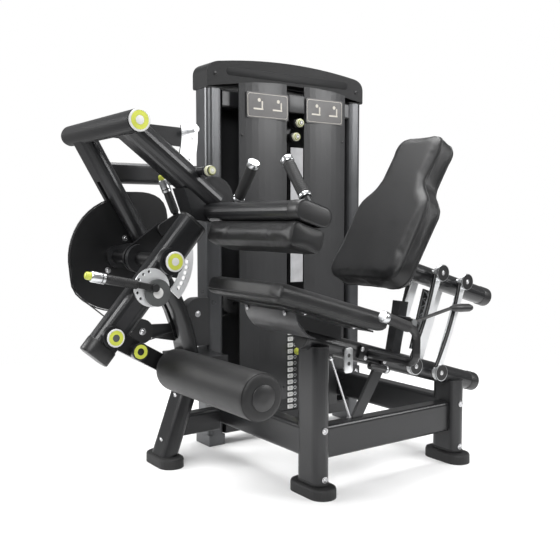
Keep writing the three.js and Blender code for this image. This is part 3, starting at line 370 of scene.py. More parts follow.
def seat_beam_z(y):
    """Height of the seat beam's axis, which falls towards the rear."""
    return LOW_PIVOTS[0][1] - SEAT_RISE * (y - LOW_PIVOTS[0][0])


def plate_z(i):
    """Middle height of a weight plate, counted from the lowest."""
    return LOWEST_PLATE + i * PLATE_PITCH + PLATE_THICKNESS / 2


# ---------------------------------------------------------------- finish of the carried-over frame

CAD_LOOKS = {
    FRAME_GREY: ("front_seat_post", "rear_seat_post", "seat_cross_member", "seat_beam", "outer_leg",
                 "leg_side_beam", "front_cross_beam", "rear_cross_beam", "tower_base_beam",
                 "tower_top_beam", "inclined_post", "tower_strut", "movement_beam",
                 "thigh_pivot_tube", "thigh_arm", "back_carriage"),
    COLUMN_GREY: ("tower_front_column", "tower_rear_column"),
    FACE_GREY: ("seat_guard",),
    PANEL_GREY: ("front_shroud", "rear_shroud", "back_cover", "pulley_housing"),
    CAP_GREY: ("tower_cap",),
    BLACK_PAINT: ("side_handle_left", "side_handle_right", "add_on_weight_upper",
                  "add_on_weight_lower", "main_shaft", "roller_arm"),
    CAM_PAINT: ("cam_disc",),
    PLASTIC: ("selector_pin", "range_lever", "idler_pulley", "lower_pulley", "top_pulley_front",
              "top_pulley_rear", "start_lever", "thigh_pull_pin", "release_lever"),
    CABLE_COAT: ("cam_cable", "lift_cable", "stack_cable"),
    RUBBER: ("front_post_foot", "rear_post_foot", "outer_leg_foot"),
    CHROME: ("guide_rod_front", "guide_rod_rear"),
    PALE_STEEL: ("front_link", "rear_link", "start_sector", "index_disc", "thigh_sector"),
    IRON: ("resting_plates", "lifted_plates", "head_plate"),
    VINYL: ("seat_pad", "thigh_pad", "back_pad"),
    ROLLER_FOAM: ("foot_roller",),
}


def sector_finish(name, pivot, radius):
    """Bright steel on a sector's ring, and frame paint on the web inside that radius."""
    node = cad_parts[name]
    centre = node.matrix_world.inverted() @ on_plane(pivot, 0)
    material = plated(f"{name}_steel", BRIGHT_STEEL, 0.45)
    shader = material.node_tree.nodes["Principled BSDF"]
    where = add_node(material, "ShaderNodeTexCoord")
    flat = add_node(material, "ShaderNodeVectorMath", operation="MULTIPLY")
    flat.inputs[1].default_value = (0, 1, 1)
    reach = add_node(material, "ShaderNodeVectorMath", operation="DISTANCE")
    reach.inputs[1].default_value = (0, centre.y, centre.z)
    step = add_node(material, "ShaderNodeMath", operation="GREATER_THAN")
    step.inputs[1].default_value = radius
    link(material, where, "Object", flat, 0)
    link(material, flat, 0, reach, 0)
    link(material, reach, "Value", step, 0)
    for socket, inside, outside in (("Base Color", (*FRAME_COLOR, 1), (*BRIGHT_STEEL, 1)),
                                    ("Metallic", 0.30, 1.0), ("Roughness", 0.34, 0.45)):
        kind = "RGBA" if socket == "Base Color" else "FLOAT"
        mix = add_node(material, "ShaderNodeMix", data_type=kind)
        mix_in = [i for i in mix.inputs if i.enabled and i.name in ("A", "B")]
        mix_in[0].default_value = inside
        mix_in[1].default_value = outside
        link(material, step, 0, mix, 0)
        mix_out = [o for o in mix.outputs if o.enabled][0]
        material.node_tree.links.new(mix_out, shader.inputs[socket])
    node.data.materials.clear()
    node.data.materials.append(material)


def dress_frame():
    for material, names in CAD_LOOKS.items():
        for name in names:
            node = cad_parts[name]
            node.data.materials.clear()
            node.data.materials.append(material)
            finish_mesh(node.data)
    sector_finish("thigh_sector", THIGH, THIGH_RING)
    sector_finish("start_sector", KNEE, START_RING)


# ---------------------------------------------------------------- fasteners, rings and caps

def bolt(name, place, direction, radius, body, material=ZINC):
    """Button-head bolt on a washer, with a hexagonal socket."""
    def make(bm):
        r, washer = radius, 0.0016
        rim = r * 1.45
        disc = [(0, 0), (rim, 0.0), (rim, 0.0012), (r * 1.3, washer), (r, washer)]
        add_lathe(bm, disc, place, direction, 28)
        head = [(r * math.cos(a), washer + r * 0.55 * math.sin(a)) for a in (0.0, 0.3, 0.7, 1.0)]
        head += [(r * 0.48, washer + r * 0.56), (r * 0.46, washer + r * 0.25), (0, washer + r * 0.25)]
        add_lathe(bm, head, place, direction, 24)
    piece(name, make, body, material)


def ring_cap(name, place, radius, body, centre, outer=WHITE, middle=YELLOW):
    """Round pivot cover: an outer ring, a coloured ring and a centre, facing +X."""
    def make(bm):
        r = radius
        profile = [(0, 0), (r, 0), (r, 0.003), (r * 0.96, 0.0045), (r * 0.84, 0.005), (r * 0.82, 0.0042),
                   (r * 0.80, 0.0050), (r * 0.42, 0.0052), (r * 0.40, 0.0044), (r * 0.38, 0.0054),
                   (r * 0.2, 0.0062), (0, 0.0062)]
        zones = [0, 0, 0, 0, 0, 1, 1, 1, 2, 2, 2]
        add_lathe(bm, profile, place, X, 48, zones)
    piece(name, make, body, [outer, middle, centre])


def tube_cap(name, outline, centre, along, hint, depth, body, bevel=0.006):
    """Moulded cap over the end of a tube."""
    def make(bm):
        add_prism(bm, outline, centre, basis_along(along, hint), depth, bevel)
    piece(name, make, body, PLASTIC)


def pivot_rings():
    ring_cap("knee_ring", on_plane(KNEE, -0.206), 0.0315, "cam", WHITE)
    ring_cap("arm_pivot_ring", on_plane(ARM_PIVOT, -0.216), 0.0275, "movement_arm", GREY_PLASTIC)
    ring_cap("arm_boss_ring", on_plane(ARM_BOSS, -0.2338), 0.0272, "shin_arm", PLASTIC, PLASTIC)
    ring_cap("thigh_ring", on_plane(THIGH, -0.199), 0.0345, "thigh_hold", WHITE)

    def latch_face(bm):
        profile = [(0, 0), (0.0425, 0), (0.0425, 0.002), (0.041, 0.003), (0.017, 0.0032),
                   (0.0165, 0.0045), (0.015, 0.0055), (0, 0.006)]
        add_lathe(bm, profile, on_plane(LATCH_DISC, -0.2318), X, 48, [0, 0, 0, 0, 1, 1, 1])
    piece("latch_disc_face", latch_face, "movement_arm", [GREY_PLASTIC, WHITE])


def frame_bolts():
    for label, y in (("front", 0.0), ("rear", REAR_POST_Y)):
        for height in (0.215, 0.058):
            bolt(f"{label}_post_bolt_{int(height * 1000)}", at(0.0602, y, height), X, 0.0075, "frame")
    slope = (LEG_TOP[0] - LEG_FOOT[0]) / (LEG_TOP[1] - LEG_FOOT[1])
    for height in (0.087, 0.242):
        y = LEG_FOOT[0] + slope * (height - LEG_FOOT[1]) - 0.031
        bolt(f"leg_bolt_{int(height * 1000)}", at(-0.554, y, height), (0, -1, -slope), 0.0075, "frame")
    for height in (0.152, 0.214):
        bolt(f"flange_bolt_{int(height * 1000)}", at(-0.6218, 0.724, height), X, 0.007, "frame")
    for x in (-0.10, 0.10):
        label = "right" if x < 0 else "left"
        bolt(f"guard_bolt_{label}", at(x, -0.1862, 0.605), (0, -1, -0.2), 0.0055, "frame")
    bolt("housing_bolt", at(-0.6298, -0.062, 0.522), X, 0.008, "frame")
    bolt("idler_bolt", at(-0.6425, -0.285, 0.472), X, 0.009, "frame")
    bolt("cam_bolt_low", at(-0.6478, -0.412, 0.700), X, 0.0075, "cam")
    bolt("cam_bolt_high", at(-0.6478, -0.345, 0.812), X, 0.0075, "cam")
    bolt("range_pivot_bolt", at(-0.4799, -0.282, 0.845), X, 0.008, "cam")
    for i, (y, z) in enumerate(((0.02, 1.425), (0.716, 1.418))):
        bolt(f"cap_bolt_{i}", at(-0.6278, y, z), X, 0.0055, "frame", PLASTIC)
    for i, (y, z) in enumerate(((0.121, 1.2), (0.121, 0.2), (0.319, 0.2), (0.434, 0.16), (0.620, 1.2))):
        bolt(f"shroud_screw_{i}", at(-0.5995, y, z), X, 0.004, "frame", PLASTIC)


# ---------------------------------------------------------------- caps on tube ends

def oval_outline(wide, thin):
    radius, steps = thin / 2, 10
    points = []
    for side in (1, -1):
        for k in range(steps + 1):
            angle = math.pi * (k / steps - 0.5)
            out = wide / 2 - radius + radius * math.cos(angle)
            points.append((side * out, side * radius * math.sin(angle)))
    return points


def beam_point(distance, x=-0.275):
    return at(x, KNEE[0] + distance * math.cos(BEAM_ANGLE), KNEE[1] + distance * math.sin(BEAM_ANGLE))


def end_caps():
    along = Vector((0, math.cos(BEAM_ANGLE), math.sin(BEAM_ANGLE)))
    across = Vector((0, math.sin(BEAM_ANGLE), -math.cos(BEAM_ANGLE)))
    end = oval_outline(0.1025, 0.0625)
    tube_cap("beam_low_cap", end, beam_point(-0.3735), along, across, 0.050, "movement_arm")
    tube_cap("beam_top_cap", end, beam_point(0.152), along, across, 0.010, "movement_arm", 0.003)

    def face(bm):
        turn = basis_along(X, along)
        origin = beam_point(-0.130, BEAM_FACE_X - 0.0004)
        add_prism(bm, rounded(0.300, 0.034, 0.004), origin, turn, 0.0009)
    piece("beam_face_panel", face, "movement_arm", FACE_GREY)

    beam_end = at(0, 0.755, seat_beam_z(0.755))
    carriage_end = at(0, 0.816, 0.675 - SEAT_RISE * (0.816 - 0.513))
    beam_front = at(0, -0.048, seat_beam_z(-0.048))
    end = round_outline(0.0345, 40)
    tube_cap("seat_beam_rear_cap", end, beam_end - SEAT_DOWN * 0.042, SEAT_DOWN, X, 0.045, "frame")
    front = beam_front - SEAT_DOWN * 0.004
    tube_cap("seat_beam_front_cap", end, front, SEAT_DOWN, X, 0.012, "frame", 0.003)
    rear = carriage_end - SEAT_DOWN * 0.042
    tube_cap("carriage_rear_cap", end, rear, SEAT_DOWN, X, 0.045, "backrest")
    end = rounded(0.1285, 0.0608, 0.030, 8)
    tube_cap("cross_tube_cap", end, above_pad(0.170, 0.0695), X, PAD_SIDE, 0.0535, "thigh_hold", 0.008)
    end = rounded(0.123, 0.0606, 0.030, 8)
    tube_cap("cross_tube_end_cap", end, above_pad(-0.3015, 0.0695), X, PAD_SIDE, 0.010, "thigh_hold", 0.003)

    def skirts(bm):
        turn = basis_along(Z, X)
        for y in (0, REAR_POST_Y):
            add_prism(bm, oval_outline(0.1225, 0.0625), at(0, y, 0.0362), turn, 0.010, 0.002)
    piece("post_skirts", skirts, "frame", RUBBER)


# ---------------------------------------------------------------- levers and grips

def lever_trim(label, base, tip, x, neck, body):
    """Chrome collar and yellow tip of a round-handled lever."""
    start, end = on_plane(base, x), on_plane(tip, x)
    direction = (end - start).normalized()
    length = (end - start).length

    def collar(bm):
        a, r = length - 0.0612, 0.0165
        profile = [(0.0, a), (r - 0.002, a), (r, a + 0.002), (r, a + 0.010), (r - 0.0012, a + 0.0108),
                   (r - 0.0012, a + 0.0125), (r, a + 0.0133), (r, a + 0.042), (r - 0.002, a + 0.0455),
                   (0.011, a + 0.0458), (0.0, a + 0.0458)]
        add_lathe(bm, profile, start, direction, 36)
    piece(f"{label}_collar", collar, body, CHROME)

    def button(bm):
        a, r = length - 0.0158, 0.0118
        profile = [(0.0, a), (r, a), (r, a + 0.011), (r - 0.0015, a + 0.0145), (r - 0.005, a + 0.0168),
                   (0, a + 0.0172)]
        add_lathe(bm, profile, start, direction, 32)
    piece(f"{label}_button", button, body, YELLOW)

    def ribs(bm):
        for i in range(int((length - neck - 0.085) / 0.006)):
            a = neck + 0.012 + i * 0.006
            rib = [(0.0139, a), (0.0147, a + 0.0012), (0.0147, a + 0.0034), (0.0139, a + 0.0046)]
            add_lathe(bm, rib, start, direction, 28)
    piece(f"{label}_grip_ribs", ribs, body, GRIP_RUBBER)


def ribbed_grip(name, start, end, radius, body):
    """Soft ribbed sleeve over a bar."""
    direction = (end - start).normalized()
    length = (end - start).length
    rib = 0.0065

    def sleeve(bm):
        profile = [(radius - 0.003, 0.0), (radius, 0.002)]
        for i in range(int((length - 0.008) / rib)):
            a, proud = 0.004 + i * rib, radius + 0.0011
            profile += [(radius, a), (proud, a + rib * 0.28)]
            profile += [(proud, a + rib * 0.62), (radius, a + rib * 0.9)]
        profile += [(radius, length - 0.002), (radius - 0.003, length)]
        add_lathe(bm, profile, start, direction, 32)
    piece(name, sleeve, body, GRIP_RUBBER)


def chrome_collar(name, start, direction, radius, length, body, closed=False):
    def make(bm):
        profile = [(radius - 0.004, 0), (radius - 0.001, 0.0), (radius, 0.0015), (radius, length - 0.0015),
                   (radius - 0.001, length)]
        profile.append((0, length) if closed else (radius - 0.004, length))
        if closed:
            profile.insert(0, (0, 0))
        add_lathe(bm, profile, start, direction, 36)
    piece(name, make, body, CHROME)


def grips():
    lever_trim("start_lever", LATCH, START_TIP, -0.220, 0.056, "start_selector")
    lever_trim("range_lever", RANGE_BASE, RANGE_TIP, -0.479, 0.016, "range_selector")
    for side, label in ((-1, "right"), (1, "left")):
        low, top = at(side * 0.204, -0.168, 0.906), at(side * 0.086, -0.168, 1.052)
        up = (top - low).normalized()
        ribbed_grip(f"thigh_grip_{label}", low + up * 0.053, top - up * 0.014, 0.0168, "thigh_hold")
        chrome_collar(f"thigh_grip_ring_{label}", low + up * 0.042, up, 0.019, 0.012, "thigh_hold")
        chrome_collar(f"thigh_grip_end_{label}", top - up * 0.015, up, 0.0192, 0.018, "thigh_hold", True)

        front, rear = at(side * 0.250, 0.066, 0.592), at(side * 0.250, 0.176, 0.550)
        back = (rear - front).normalized()
        ribbed_grip(f"side_grip_{label}", front + back * 0.014, rear - back * 0.004, 0.0158, "frame")
        chrome_collar(f"side_grip_end_{label}", front - back * 0.004, back, 0.018, 0.019, "frame", True)


# ---------------------------------------------------------------- knobs and pins

def knob(name, place, radius, length, body, material):
    """Round pull knob along +X with rounded rims."""
    def make(bm):
        r, d = radius, length
        profile = [(0, 0), (r * 0.90, 0), (r * 0.98, d * 0.06), (r, d * 0.16), (r, d * 0.74),
                   (r * 0.97, d * 0.86), (r * 0.88, d * 0.96), (r * 0.7, d), (0, d)]
        add_lathe(bm, profile, place, X, 36)
    piece(name, make, body, material)


def knobs():
    chrome_collar("thigh_pin_collar", on_plane(PULL_PIN, -0.2424), X, 0.0128, 0.013, "thigh_pin")
    knob("thigh_pin_knob", on_plane(PULL_PIN, -0.2284), 0.0168, 0.0215, "thigh_pin", IVORY)
    ring_cap("thigh_pin_face", on_plane(PULL_PIN, -0.2072), 0.0135, "thigh_pin", WHITE, OLIVE, IVORY)
    for label, y, z in (("upper", 0.384, 1.262), ("lower", 0.366, 1.206)):
        chrome_collar(f"add_on_collar_{label}", at(-0.6025, y, z), X, 0.0110, 0.012, "frame")
        knob(f"add_on_knob_{label}", at(-0.5905, y, z), 0.0165, 0.0140, "frame", IVORY)
        ring_cap(f"add_on_face_{label}", at(-0.5768, y, z), 0.0135, "frame", WHITE, OLIVE, IVORY)
    pin_height = plate_z(PIN_PLATE)
    chrome_collar("selector_pin_ring", at(-0.6030, STACK_Y, pin_height), X, 0.0085, 0.005, "weight_pin")
    knob("selector_pin_knob", at(-0.5980, STACK_Y, pin_height), 0.0142, 0.0275, "weight_pin", YELLOW)


# ---------------------------------------------------------------- weight tower trim

def placard(label, y0, y1, z0, z1):
    """Printed plate on a shroud, with a thin border and a plain pictogram."""
    middle_y, middle_z = (y0 + y1) / 2, (z0 + z1) / 2
    turn = basis_along(X, Y)

    def sheet(bm, inset, lift, radius, zone):
        outline = rounded((y1 - y0) - 2 * inset, (z1 - z0) - 2 * inset, radius, 4)
        add_prism(bm, outline, at(SHROUD_FACE_X + lift, middle_y, middle_z), turn, 0.0010, zone=zone)

    def make(bm):
        sheet(bm, 0.0, 0.0, 0.006, 0)
        sheet(bm, 0.0045, 0.0006, 0.010, 1)
        sheet(bm, 0.0060, 0.0009, 0.009, 0)
    piece(f"placard_{label}", make, "frame", [PLACARD, PLACARD_LINE])

    marks = ((rounded(0.046, 0.006, 0.003, 3), 0, -0.014), (rounded(0.006, 0.030, 0.003, 3), 0.018, 0.002),
             (rounded(0.014, 0.014, 0.0069, 6), 0.004, 0.020))

    def pictogram(bm):
        for offset in (-0.045, 0.045):
            centre = at(SHROUD_FACE_X + 0.0013, middle_y + offset, middle_z)
            for outline, y, z in marks:
                add_prism(bm, outline, centre + Vector((0, y, z)), turn, 0.0009)
    piece(f"placard_mark_{label}", pictogram, "frame", PLACARD_LINE)


def tag_number(name, text, place, height, body):
    """Flat printed number facing +X."""
    curve = bpy.data.curves.new(name, "FONT")
    curve.body = text
    curve.size = height
    curve.extrude = 0.0002
    curve.align_x = "CENTER"
    curve.align_y = "CENTER"
    curve.resolution_u = 2
    source = bpy.data.objects.new(name + "_text", curve)
    bpy.context.scene.collection.objects.link(source)
    bpy.context.view_layer.update()
    mesh = bpy.data.meshes.new_from_object(source)
    bpy.data.objects.remove(source)
    turn = Matrix.Rotation(math.pi / 2, 4, "Z") @ Matrix.Rotation(math.pi / 2, 4, "X")
    mesh.transform(Matrix.Translation(place) @ turn)
    mesh.materials.clear()
    mesh.materials.append(INK_AND_HOLE_SHADE)
    obj = bpy.data.objects.new(name, mesh)
    bpy.context.scene.collection.objects.link(obj)
    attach(obj, body)


def add_hole(bm, place, outer, inner, rise, rim_zone):
    """Raised rim, facing +X, round a shallow recess whose floor takes a dark finish as painted shade for the
    hole's depth.
    """
    profile = [(outer, 0), (outer, rise), (inner, rise), (inner - 0.0002, 0.0003), (0, 0.0003)]
    add_lathe(bm, profile, place, X, 20, [rim_zone, rim_zone, rim_zone, rim_zone + 1])


def stack_tags():
    """A light tag with a number and a pin hole on every weight plate."""
    for body, first, end in (("frame", 0, PIN_PLATE), ("stack", PIN_PLATE, PLATE_COUNT)):
        def tags(bm, first=first, end=end):
            turn = basis_along(X, Y)
            for i in range(first, end):
                z = plate_z(i)
                add_prism(bm, rounded(0.026, 0.017, 0.002, 3), at(-0.6091, TAG_Y, z), turn, 0.0011)
                # The pin hole's floor takes the third finish, a dark one: painted shade for the hole's
                # depth.
                add_hole(bm, at(-0.6089, STACK_Y, z), 0.0072, 0.0052, 0.0014, 1)
        piece(f"plate_tags_{body}", tags, body, [WHITE, SATIN_STEEL, INK_AND_HOLE_SHADE])
        for i in range(first, end):
            place = at(-0.6079, TAG_Y, plate_z(i))
            tag_number(f"plate_number_{i}", str(5 * (PLATE_COUNT - i)), place, 0.014, body)


def tower_trim():
    placard("front", 0.137, 0.333, 1.268, 1.366)
    placard("rear", 0.423, 0.612, 1.268, 1.366)

    def slot_block(bm):
        turn = basis_along(Z, X)
        add_prism(bm, rounded(0.040, 0.080, 0.006), at(-0.612, 0.377, 1.302), turn, 0.068, 0.003)
    piece("slot_block", slot_block, "frame", PANEL_GREY)

    def strip(bm):
        turn = basis_along(Z, X)
        add_prism(bm, rounded(0.003, 0.062, 0.0012, 3), at(-0.602, 0.383, 0.625), turn, 0.540)
    piece("slot_strip", strip, "frame", STRIP_GREY)

    def gaskets(bm):
        for y in (0.0212, 0.718):
            add_prism(bm, rounded(0.107, 0.075, 0.004, 3), at(-0.682, y, 1.3726), basis_along(Z, X), 0.0028)
    piece("cap_gaskets", gaskets, "frame", RUBBER)

    def cap_inset(bm):
        place = at(-0.6285, CAP_MIDDLE_Y, 1.440)
        add_prism(bm, rounded(0.60, 0.030, 0.014, 6), place, basis_along(X, Y), 0.0014, 0.0006, 2)
    piece("cap_inset_panel", cap_inset, "frame", CAP_GREY)

    def backing(bm):
        y0, y1, count = 0.062, 0.677, 16
        low, edge, arch = 1.350, 1.3745, 0.036
        outline = [(y1, low), (y0, low)]
        for i in range(count + 1):
            y = y0 + (y1 - y0) * i / count
            across = (y - CAP_MIDDLE_Y) / CAP_HALF_WIDTH
            outline.append((y, edge + arch * (1 - across * across)))
        add_prism(bm, outline, at(-0.702, 0, 0), basis_along(X, Y), 0.003)
    piece("cap_backing", backing, "frame", PANEL_GREY)


# ---------------------------------------------------------------- seat and backrest mechanism

def seat_trim():
    def chrome_bracket(bm):
        turn = basis_along(X, Y)
        origin = at(0.0345, 0.114, seat_beam_z(0.114) - 0.036)
        add_prism(bm, rounded(0.036, 0.082, 0.010), origin, turn, 0.005, 0.0008, 2)
    piece("adjuster_plate", chrome_bracket, "frame", SATIN_STEEL)

    def bracket_holes(bm):
        for i in range(2):
            place = at(0.0396, 0.114, seat_beam_z(0.114) - 0.020 - i * 0.026)
            # The holes' floors take the second finish, a dark one: painted shade for their depth.
            add_hole(bm, place, 0.0085, 0.0065, 0.0008, 0)
    piece("adjuster_holes", bracket_holes, "frame", [CHROME, INK_AND_HOLE_SHADE])

    def stay(bm):
        top, foot = at(0, 0.070, seat_beam_z(0.070)), at(0, 0.155, 0.2205)
        add_sweep(bm, [top - Z * 0.036, foot], 0.0038, 14)
        turn = basis_along(foot - top, X)
        for y, z, size in ((0.150, 0.226, 0.009), (0.072, seat_beam_z(0.072) - 0.042, 0.008)):
            add_prism(bm, round_outline(size, 6), at(0, y, z), turn, 0.006)
    piece("stay_rod", stay, "frame", ZINC)

    damper_start = at(0.046, 0.196, seat_beam_z(0.196) - 0.036)

    def damper(bm):
        profile = [(0, 0), (0.009, 0), (0.0125, 0.003), (0.0125, 0.084), (0.010, 0.088), (0, 0.088)]
        add_lathe(bm, profile, damper_start, SEAT_DOWN, 28)
        turn = basis_along(X, SEAT_DOWN)
        for y, rise, wide, high in ((0.176, 0.002, 0.034, 0.050), (0.268, -0.010, 0.026, 0.040)):
            origin = at(0.030, y, seat_beam_z(y) + rise)
            add_prism(bm, rounded(wide, high, 0.006), origin, turn, 0.012, 0.001, 2)
    piece("release_damper", damper, "frame", BLACK_PAINT)
    ring = damper_start + SEAT_DOWN * 0.070
    chrome_collar("release_damper_ring", ring, SEAT_DOWN, 0.0142, 0.010, "frame")
    for i, (y, drop) in enumerate(((0.170, -0.012), (0.182, 0.014), (0.268, 0.010))):
        bolt(f"damper_bolt_{i}", at(0.0425, y, seat_beam_z(y) - drop), X, 0.0052, "frame")

    for side, label in ((-1, "right"), (1, "left")):
        for i, y in enumerate((-0.14, 0.05)):
            place = at(side * 0.135, y, seat_beam_z(y) + 0.0688)
            bolt(f"pan_bolt_{label}_{i}", place, (0, -SEAT_RISE, -1), 0.006, "frame")

    def latch(bm):
        boss = [(0, 0), (0.0166, 0), (0.0166, 0.148), (0, 0.148)]
        add_lathe(bm, boss, on_plane(RELEASE, -0.074), X, 36)
        outline = [(0.3345, 0.430), (0.3660, 0.420), (0.4032, 0.5945), (0.3632, 0.6008)]
        add_prism(bm, outline, at(-0.0206, 0, 0), basis_along(X, Y), 0.0352)
    piece("latch_cover", latch, "frame", FRAME_GREY)
    chrome_collar("latch_end_far", on_plane(RELEASE, -0.0775), X, 0.0182, 0.012, "frame", True)
    chrome_collar("latch_end_near", on_plane(RELEASE, 0.0975), X, 0.0125, 0.004, "back_release", True)

    base, top = Vector((0.4235, 0.428)), Vector((0.4857, 0.632))
    along = (top - base).normalized()
    across = Vector((along.y, -along.x))
    half = 0.017

    def rack(bm):
        sides = ((base, -half), (top, -half), (top, half), (base, half))
        outline = [tuple(end + across * reach - base) for end, reach in sides]
        add_prism(bm, outline, at(0.0165, base.x, base.y), basis_along(X, Y), 0.006)
        pin = [(0, 0), (0.005, 0), (0.005, 0.030), (0, 0.030)]
        for share in (0.12, 0.88):
            spot = base + (top - base) * share
            add_lathe(bm, pin, on_plane(spot, 0.018), X, 20)
    piece("backrest_rack", rack, "front_back_link", BLACK_PAINT)

    def teeth(bm):
        count = 14
        path = []
        for i in range(count + 1):
            reach = 0.012 if i % 2 else -0.012
            spot = base + (top - base) * (0.03 + 0.94 * i / count) + across * reach
            path.append(on_plane(spot, 0.0240))
        add_sweep(bm, path, 0.0026, 8)
        for reach in (-0.0155, 0.0155):
            ends = [on_plane(end + across * reach, 0.0237) for end in (base, top)]
            add_sweep(bm, ends, 0.0022, 8)
    piece("backrest_rack_teeth", teeth, "front_back_link", CHROME)


def link_trim():
    """Rims, bolts and the bowed outer straps of the backrest's parallel links."""
    for label, pivot in zip(("front", "rear"), LOW_PIVOTS):
        body = f"{label}_back_link"
        high = (pivot[0] + LINK_RISE[0], pivot[1] + LINK_RISE[1])
        for side, hand in ((-1, "right"), (1, "left")):
            for place, level in ((pivot, "low"), (high, "high")):
                centre = on_plane(place, side * 0.0682)

                def rim(bm, centre=centre, side=side):
                    profile = [(0, 0), (0.0292, 0), (0.0292, 0.003), (0.0287, 0.0042), (0.0268, 0.0044),
                               (0.0262, 0.0032), (0, 0.0034)]
                    add_lathe(bm, profile, centre, X * side, 40, [0, 0, 0, 0, 1, 1])
                piece(f"link_rim_{label}_{level}_{hand}", rim, body, [CHROME, PLASTIC])
                outer = on_plane(place, side * 0.0714)
                bolt(f"link_bolt_{label}_{level}_{hand}", outer, X * side, 0.0055, body)

            def bow(bm, pivot=pivot, high=high, side=side):
                a, b = Vector(pivot), Vector(high)
                along = (b - a).normalized()
                away = Vector((along.y, -along.x))
                count = 12
                path = []
                for i in range(count + 1):
                    t = i / count
                    bend = 0.025 - 0.012 * math.sin(math.pi * t)
                    path.append(on_plane(a + (b - a) * (0.04 + 0.92 * t) - away * bend, side * 0.0600))
                add_sweep(bm, path, 0.0065, 14)
            piece(f"link_bow_{label}_{hand}", bow, body, BLACK_PAINT)


# ---------------------------------------------------------------- upholstery

SIMULATED_FRAMES = 20
AIR_PRESSURE = 4.0


def swell(name, node, body, voxel, shrink, cap, material, hard_face=None):
    """Padded copy of a plain CAD solid: remeshed, taken in, blown up as cloth, then smoothed.

    voxel is the remesh size, shrink how far the surface is taken in first, and cap the furthest that
    a point may travel from there. hard_face is (point, outward normal) of the board that the padding
    is glued to.
    """
    scene = bpy.context.scene
    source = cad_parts[node]
    obj = bpy.data.objects.new(name, source.data.copy())
    scene.collection.objects.link(obj)
    obj.data.materials.clear()
    bpy.context.view_layer.objects.active = obj
    remesh = obj.modifiers.new("remesh", "REMESH")
    remesh.mode = "VOXEL"
    remesh.voxel_size = voxel
    obj.data = bake(obj)
    relax(obj.data, 3)
    normals = [v.normal.copy() for v in obj.data.vertices]
    for vertex, normal in zip(obj.data.vertices, normals):
        vertex.co -= normal * shrink
    start = [v.co.copy() for v in obj.data.vertices]
    cloth = obj.modifiers.new("swell", "CLOTH")
    cloth.settings.use_pressure = True
    cloth.settings.uniform_pressure_force = AIR_PRESSURE
    cloth.settings.effector_weights.gravity = 0
    cloth.settings.quality = 4
    cloth.settings.mass = 0.4
    cloth.settings.tension_stiffness = 12
    cloth.settings.compression_stiffness = 12
    cloth.settings.bending_stiffness = 0.6
    cloth.point_cache.frame_start = 1
    cloth.point_cache.frame_end = SIMULATED_FRAMES
    for number in range(1, SIMULATED_FRAMES + 1):
        scene.frame_set(number)
    obj.data = bake(obj)
    scene.frame_set(1)
    for vertex, home in zip(obj.data.vertices, start):
        moved = vertex.co - home
        if moved.length > cap:
            vertex.co = home + moved * (cap / moved.length)
        if hard_face:
            out = (vertex.co - hard_face[0]).dot(hard_face[1])
            if out > 0:
                vertex.co -= hard_face[1] * out
    relax(obj.data, 5)
    smooth = obj.modifiers.new("subdivision", "SUBSURF")
    smooth.levels = smooth.render_levels = 1
    obj.data = bake(obj)
    obj.data.materials.clear()
    obj.data.materials.append(material)
    finish_mesh(obj.data, SOFT_ANGLE)
    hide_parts(node)
    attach(obj, body)
    return obj


def bake(obj):
    """Mesh of obj with its modifiers applied; they are then removed."""
    graph = bpy.context.evaluated_depsgraph_get()
    mesh = bpy.data.meshes.new_from_object(obj.evaluated_get(graph))
    obj.modifiers.clear()
    return mesh


def relax(mesh, rounds):
    """Laplacian smoothing that keeps the mesh where it is on average."""
    bm = bmesh.new()
    bm.from_mesh(mesh)
    for _ in range(rounds):
        bmesh.ops.smooth_vert(
            bm, verts=bm.verts, factor=0.5, use_axis_x=True, use_axis_y=True, use_axis_z=True)
    bm.to_mesh(mesh)
    bm.free()
    mesh.update()


def seam_on(pad, name, rays, radius, body, material=VINYL):
    """Closed line of piping laid where each ray (origin, direction) meets a pad's surface."""
    graph = bpy.context.evaluated_depsgraph_get()
    tree = BVHTree.FromObject(pad, graph)
    points = []
    for origin, direction in rays:
        hit, normal, _, _ = tree.ray_cast(origin, Vector(direction).normalized())
        if hit is not None:
            points.append(hit + normal * radius * 0.15)

    def make(bm):
        add_sweep(bm, points, radius, 8, closed=True)
    piece(name, make, body, material, SOFT_ANGLE)


def ring_rays(centre, turn, plane_offset, reach, count):
    """Rays pointing in at a pad from all round, in a plane across its thickness."""
    rays = []
    for i in range(count):
        angle = 2 * math.pi * i / count
        out = turn @ Vector((math.cos(angle), math.sin(angle), 0))
        shift = turn @ Vector((0, 0, plane_offset))
        rays.append((centre + shift + out * reach, -out))
    return rays


def wrap_rays(centre, side, up):
    """Rays pointing in at a pad from all round, in the plane of side and up."""
    count, reach = 72, 0.2
    rays = []
    for i in range(count):
        angle = 2 * math.pi * i / count
        out = side * math.cos(angle) + up * math.sin(angle)
        rays.append((centre + out * reach, -out))
    return rays


